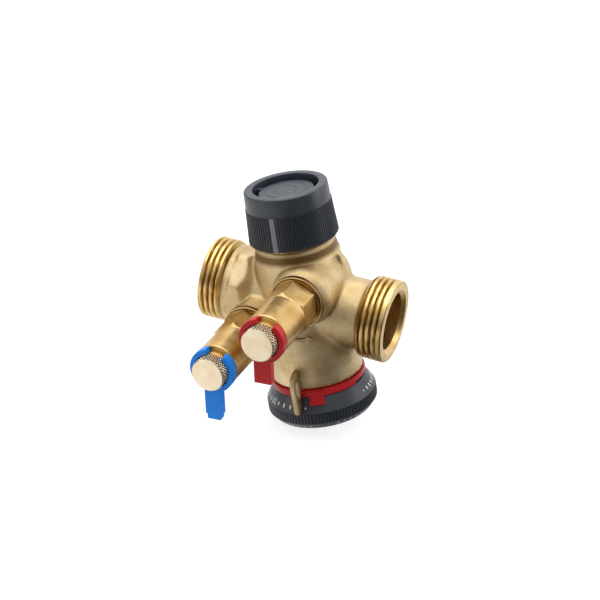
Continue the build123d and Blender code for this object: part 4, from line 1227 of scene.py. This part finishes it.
def marker_outline(reach, stepped):
    """The outline of a marker seen from the front: an open ring with a tab below."""
    first, last = gap_middle + gap_arc / 2, gap_middle - gap_arc / 2 + 360
    spread = math.degrees(math.asin(tab_width / 2 / marker_outer))
    half, end_half = tab_width / 2, step_width / 2
    tab = [(-half, -reach), (half, -reach)]
    if stepped:
        shoulder = -reach + step_length
        tab = [(-half, shoulder), (-end_half, shoulder), (-end_half, -reach)]
        tab += [(-x, z) for x, z in reversed(tab)]
    cosine, sine = math.cos(math.radians(tab_turn)), math.sin(math.radians(tab_turn))
    tab = [(x * cosine - z * sine, x * sine + z * cosine) for x, z in tab]
    outline = arc_points(marker_outer, first, 270 + tab_turn - spread, 26) + tab
    outline += arc_points(marker_outer, 270 + tab_turn + spread, last, 26)
    return outline + arc_points(marker_inner, last, first, 48)


blue_plastic = moulded_plastic("blue_plastic", (0.012, 0.27, 0.95), 0.34, 1.05, gloss=0.3)
for side, reach, stepped, plastic, slot in (
    ("inlet", inlet_reach, False, red_plastic, "red_plastic"),
    ("outlet", outlet_reach, True, blue_plastic, "blue_plastic"),
):
    origin, out, across = test_points[side]
    flat = marker_outline(reach, stepped)
    start = origin + out * marker_start
    back_face = [start + across * x + np.cross(out, across) * z for x, z in flat]
    front_face = [point + out * marker_length for point in back_face]
    marker_mesh = bevelled(prism(side + "_marker_moulded", back_face, front_face), 0.3)
    marker = placed(marker_mesh, plastic)
    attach(marker, side + "_marker")
    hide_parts(side + "_marker")


# The tip caps
# Small turned brass caps with a diamond knurl close the noses of the test points.
tip_radius = 6.58
tip_start, tip_end = 31.37, 36.67
tip_ceiling, tip_bore = 35.57, 5.05
knurl_teeth, knurl_depth = 30, 0.5
knurl_pitch = 2 * math.pi * tip_radius / knurl_teeth


def knurl_groove(height, turn):
    """How deep two crossing sets of grooves run at a place on the rim of a tip cap, from 0 to 1."""
    around = turn / (2 * math.pi) * knurl_teeth
    along = (height - tip_start) / knurl_pitch
    first = 1 - np.abs(2 * ((around + along) % 1) - 1)
    second = 1 - np.abs(2 * ((around - along) % 1) - 1)
    tooth = np.clip(np.minimum(first, second) * 2.6 - 0.35, 0, 1)
    inside = np.clip((height - tip_start - 0.4) / 0.15, 0, 1)
    inside = inside * np.clip((tip_end - 0.45 - height) / 0.15, 0, 1)
    return (1 - tooth) * inside


def knurl_shape(radius, height, turn):
    """Presses the grooves into the rim of a tip cap."""
    rim = radius > tip_radius - 0.2
    return np.where(rim, radius - knurl_depth * knurl_groove(height, turn), radius), height


tip_outline = [
    (0, tip_ceiling),
    (tip_bore, tip_ceiling),
    (tip_bore, tip_start, 0.2),
    (tip_radius - 0.4, tip_start, 0.1),
    *[(tip_radius, tip_start + 0.4 + 0.15 * k) for k in range(31)],
    (tip_radius - 0.4, tip_end, 0.2),
    (0, tip_end),
]
cap_brass = lathe_brass("cap_brass", (0.92, 0.79, 0.59, 1), (0.84, 0.69, 0.47, 1), 0.36)
for side, line in test_points.items():
    tip_mesh = turned(side + "_tip_cap_knurled", line, tip_outline, 360, 0.9, knurl_shape)
    # Painted shade: the knurl's grooves are darkened so that the pattern shows.
    points = np.array([vertex.co for vertex in tip_mesh.vertices]) / mm - line[0]
    across, away = points @ line[2], points @ np.cross(line[1], line[2])
    on_rim = np.hypot(across, away) > tip_radius - knurl_depth - 0.1
    painted(tip_mesh, "groove", on_rim * knurl_groove(points @ line[1], np.arctan2(away, across)))
    tip_cap = placed(tip_mesh, cap_brass)
    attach(tip_cap, side + "_tip_cap")
    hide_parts(side + "_tip_cap")


# The pieces inside
# Seat, plug, stem, springs, seals and the preset cartridge are brass, bright steel, black rubber or
# pale moulded plastic. They keep their shapes; the two springs are copied as coils on the valve body.
def bright_steel():
    """Drawn stainless steel with faint lines."""
    material, tree, surface = new_material("bright_steel")
    tint = mixed(tree, specks(tree, 1.5), (0.5, 0.5, 0.51, 1), (0.66, 0.66, 0.66, 1))
    coloured(tree, surface, tint, ranged(tree, specks(tree, 0.5), 0.3, 0.7, 0.22, 0.36))
    surface.inputs["Metallic"].default_value = 1.0
    embossed(tree, surface, 0.2, 0.02, specks(tree, 0.12, 2.0))
    return material


finishes = {
    "cast_brass": cast_brass,
    "turned_brass": turned_brass,
    "steel": bright_steel(),
    "rubber": moulded_plastic("black_rubber", (0.016, 0.016, 0.017), 0.6, 1.4),
    "dark_plastic": slate_plastic,
    "inner_plastic": moulded_plastic("pale_plastic", (0.62, 0.6, 0.53), 0.45, 1.1),
    "red_plastic": red_plastic,
    "blue_plastic": blue_plastic,
}
for part in frame["record"]["subparts"]:
    node = frame["nodes"][part["node"]]
    node.data.materials.clear()
    node.data.materials.append(finishes[part["material_slot"]])

for name, joint in (("return_spring", "stem_stroke"), ("regulator_spring", "regulator_stroke")):
    coil_mesh = frame["nodes"][name].data.copy()
    coil_mesh.name = name + "_coil"
    coil = placed(coil_mesh, finishes["steel"])
    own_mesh(coil)
    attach(coil, "valve")
    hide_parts(name)


# The studio
# The valve stands over a white floor, with soft lamps above and beside it. The camera is where the
# photograph was taken from.
floor_height = cad_box[0][2] - 0.4 * mm
look_at = Vector((37.98, 0, -1.02)) * mm
camera_turn, camera_rise, camera_roll = np.radians((20.88, 28.95, 4.04)).tolist()
camera_distance = 639.1 * mm
camera_focus = 95.62
backward = Vector(
    (
        math.sin(camera_turn) * math.cos(camera_rise),
        -math.cos(camera_turn) * math.cos(camera_rise),
        math.sin(camera_rise),
    )
)
level_right = Vector((math.cos(camera_turn), math.sin(camera_turn), 0))
level_up = backward.cross(level_right)
right = level_right * math.cos(camera_roll) + level_up * math.sin(camera_roll)
up = backward.cross(right)
camera_data = bpy.data.cameras.new("camera")
camera_data.lens = camera_focus
camera_data.sensor_width = 36.0
camera_data.clip_start = 0.01
camera = bpy.data.objects.new("camera", camera_data)
bpy.context.scene.collection.objects.link(camera)
pose = np.eye(4)
pose[:3, 0], pose[:3, 1], pose[:3, 2] = right, up, backward
pose[:3, 3] = look_at + backward * camera_distance
camera.matrix_world = pose.T.tolist()
bpy.context.scene.camera = camera
bpy.context.scene.view_settings.view_transform = "Standard"


def soft_lamp(name, place, width, height, watts):
    """A large soft lamp that faces the valve, hidden from the camera."""
    data = bpy.data.lights.new(name, "AREA")
    data.shape = "RECTANGLE"
    data.size, data.size_y = width, height
    data.energy = watts
    lamp = bpy.data.objects.new(name, data)
    bpy.context.scene.collection.objects.link(lamp)
    lamp.location = look_at + Vector(place)
    lamp.rotation_euler = (-Vector(place)).to_track_quat("-Z", "Y").to_euler()
    lamp.visible_camera = False


soft_lamp("top_lamp", (-0.12, 0.05, 0.65), 0.8, 0.7, 3.75)
soft_lamp("left_lamp", (-0.62, -0.4, 0.16), 0.4, 0.6, 0.9)
soft_lamp("right_lamp", (0.6, 0.22, 0.22), 0.3, 0.55, 1.0)


def looked_at(tree):
    """1 where the camera sees a place straight or through glass, and whether it is a reflection."""
    rays = add_node(tree, "LightPath").outputs
    seen = maths(tree, "MAXIMUM", rays["Is Camera Ray"], rays["Is Transmission Ray"])
    return seen, rays["Is Glossy Ray"]


world = bpy.data.worlds.new("room")
bpy.context.scene.world = world
world.use_nodes = True
room = world.node_tree
room.nodes.clear()
directions = add_node(room, "TexCoord").outputs["Generated"]
towards = add_node(room, "SeparateXYZ", {0: directions}).outputs
ceiling = ranged(room, towards["Z"], 0.1, 0.75, 0.1, 0.75)
back_wall = ranged(room, towards["Y"], 0.2, 0.75, 0.1, 1.15)
level = maths(room, "MAXIMUM", ceiling, back_wall)
white = (1, 1, 1, 1)
background = add_node(room, "Background", {"Color": mixed(room, looked_at(room)[0], level, white)})
room.links.new(background.outputs[0], add_node(room, "OutputWorld").inputs["Surface"])

floor_half = 1.6
dark_direction = (0.9, -0.44, 0)
floor_mesh = bpy.data.meshes.new("floor")
floor_corners = [
    (x * floor_half, y * floor_half, floor_height) for x, y in ((-1, -1), (1, -1), (1, 1), (-1, 1))
]
floor_mesh.from_pydata(floor_corners, [], [(0, 1, 2, 3)])
floor_paint, tree, surface = new_material("floor_paint")
# Painted reflection: seen in reflections the floor is hardly lit, and glows bright except towards the front right,
# where it is dark.
seen, reflected = looked_at(tree)
place, middle = add_node(tree, "TexCoord").outputs["Object"], (centre[0] * mm, 0, 0)
outward = add_node(tree, "VectorMath", {0: place, 1: middle}, operation="SUBTRACT").outputs[0]
ahead = add_node(tree, "VectorMath", {0: outward}, operation="NORMALIZE").outputs[0]
dark_side = add_node(tree, "VectorMath", {0: ahead, 1: dark_direction}, operation="DOT_PRODUCT")
bright_share = ranged(tree, dark_side.outputs["Value"], 0.2, 0.75, 1.0, 0.03)
reflected_glow = maths(tree, "MULTIPLY", reflected, bright_share)
glow = maths(tree, "MAXIMUM", maths(tree, "MULTIPLY", seen, 0.78), reflected_glow)
unlit = maths(tree, "MULTIPLY", reflected, 0.9)
floor_colour = mixed(tree, unlit, (0.5, 0.5, 0.5, 1), (0.02, 0.02, 0.02, 1))
tree.links.new(floor_colour, surface.inputs["Base Color"])
surface.inputs["Roughness"].default_value = 0.9
surface.inputs["Specular IOR Level"].default_value = 0.0
surface.inputs["Emission Color"].default_value = white
tree.links.new(glow, surface.inputs["Emission Strength"])
floor = placed(floor_mesh, floor_paint)
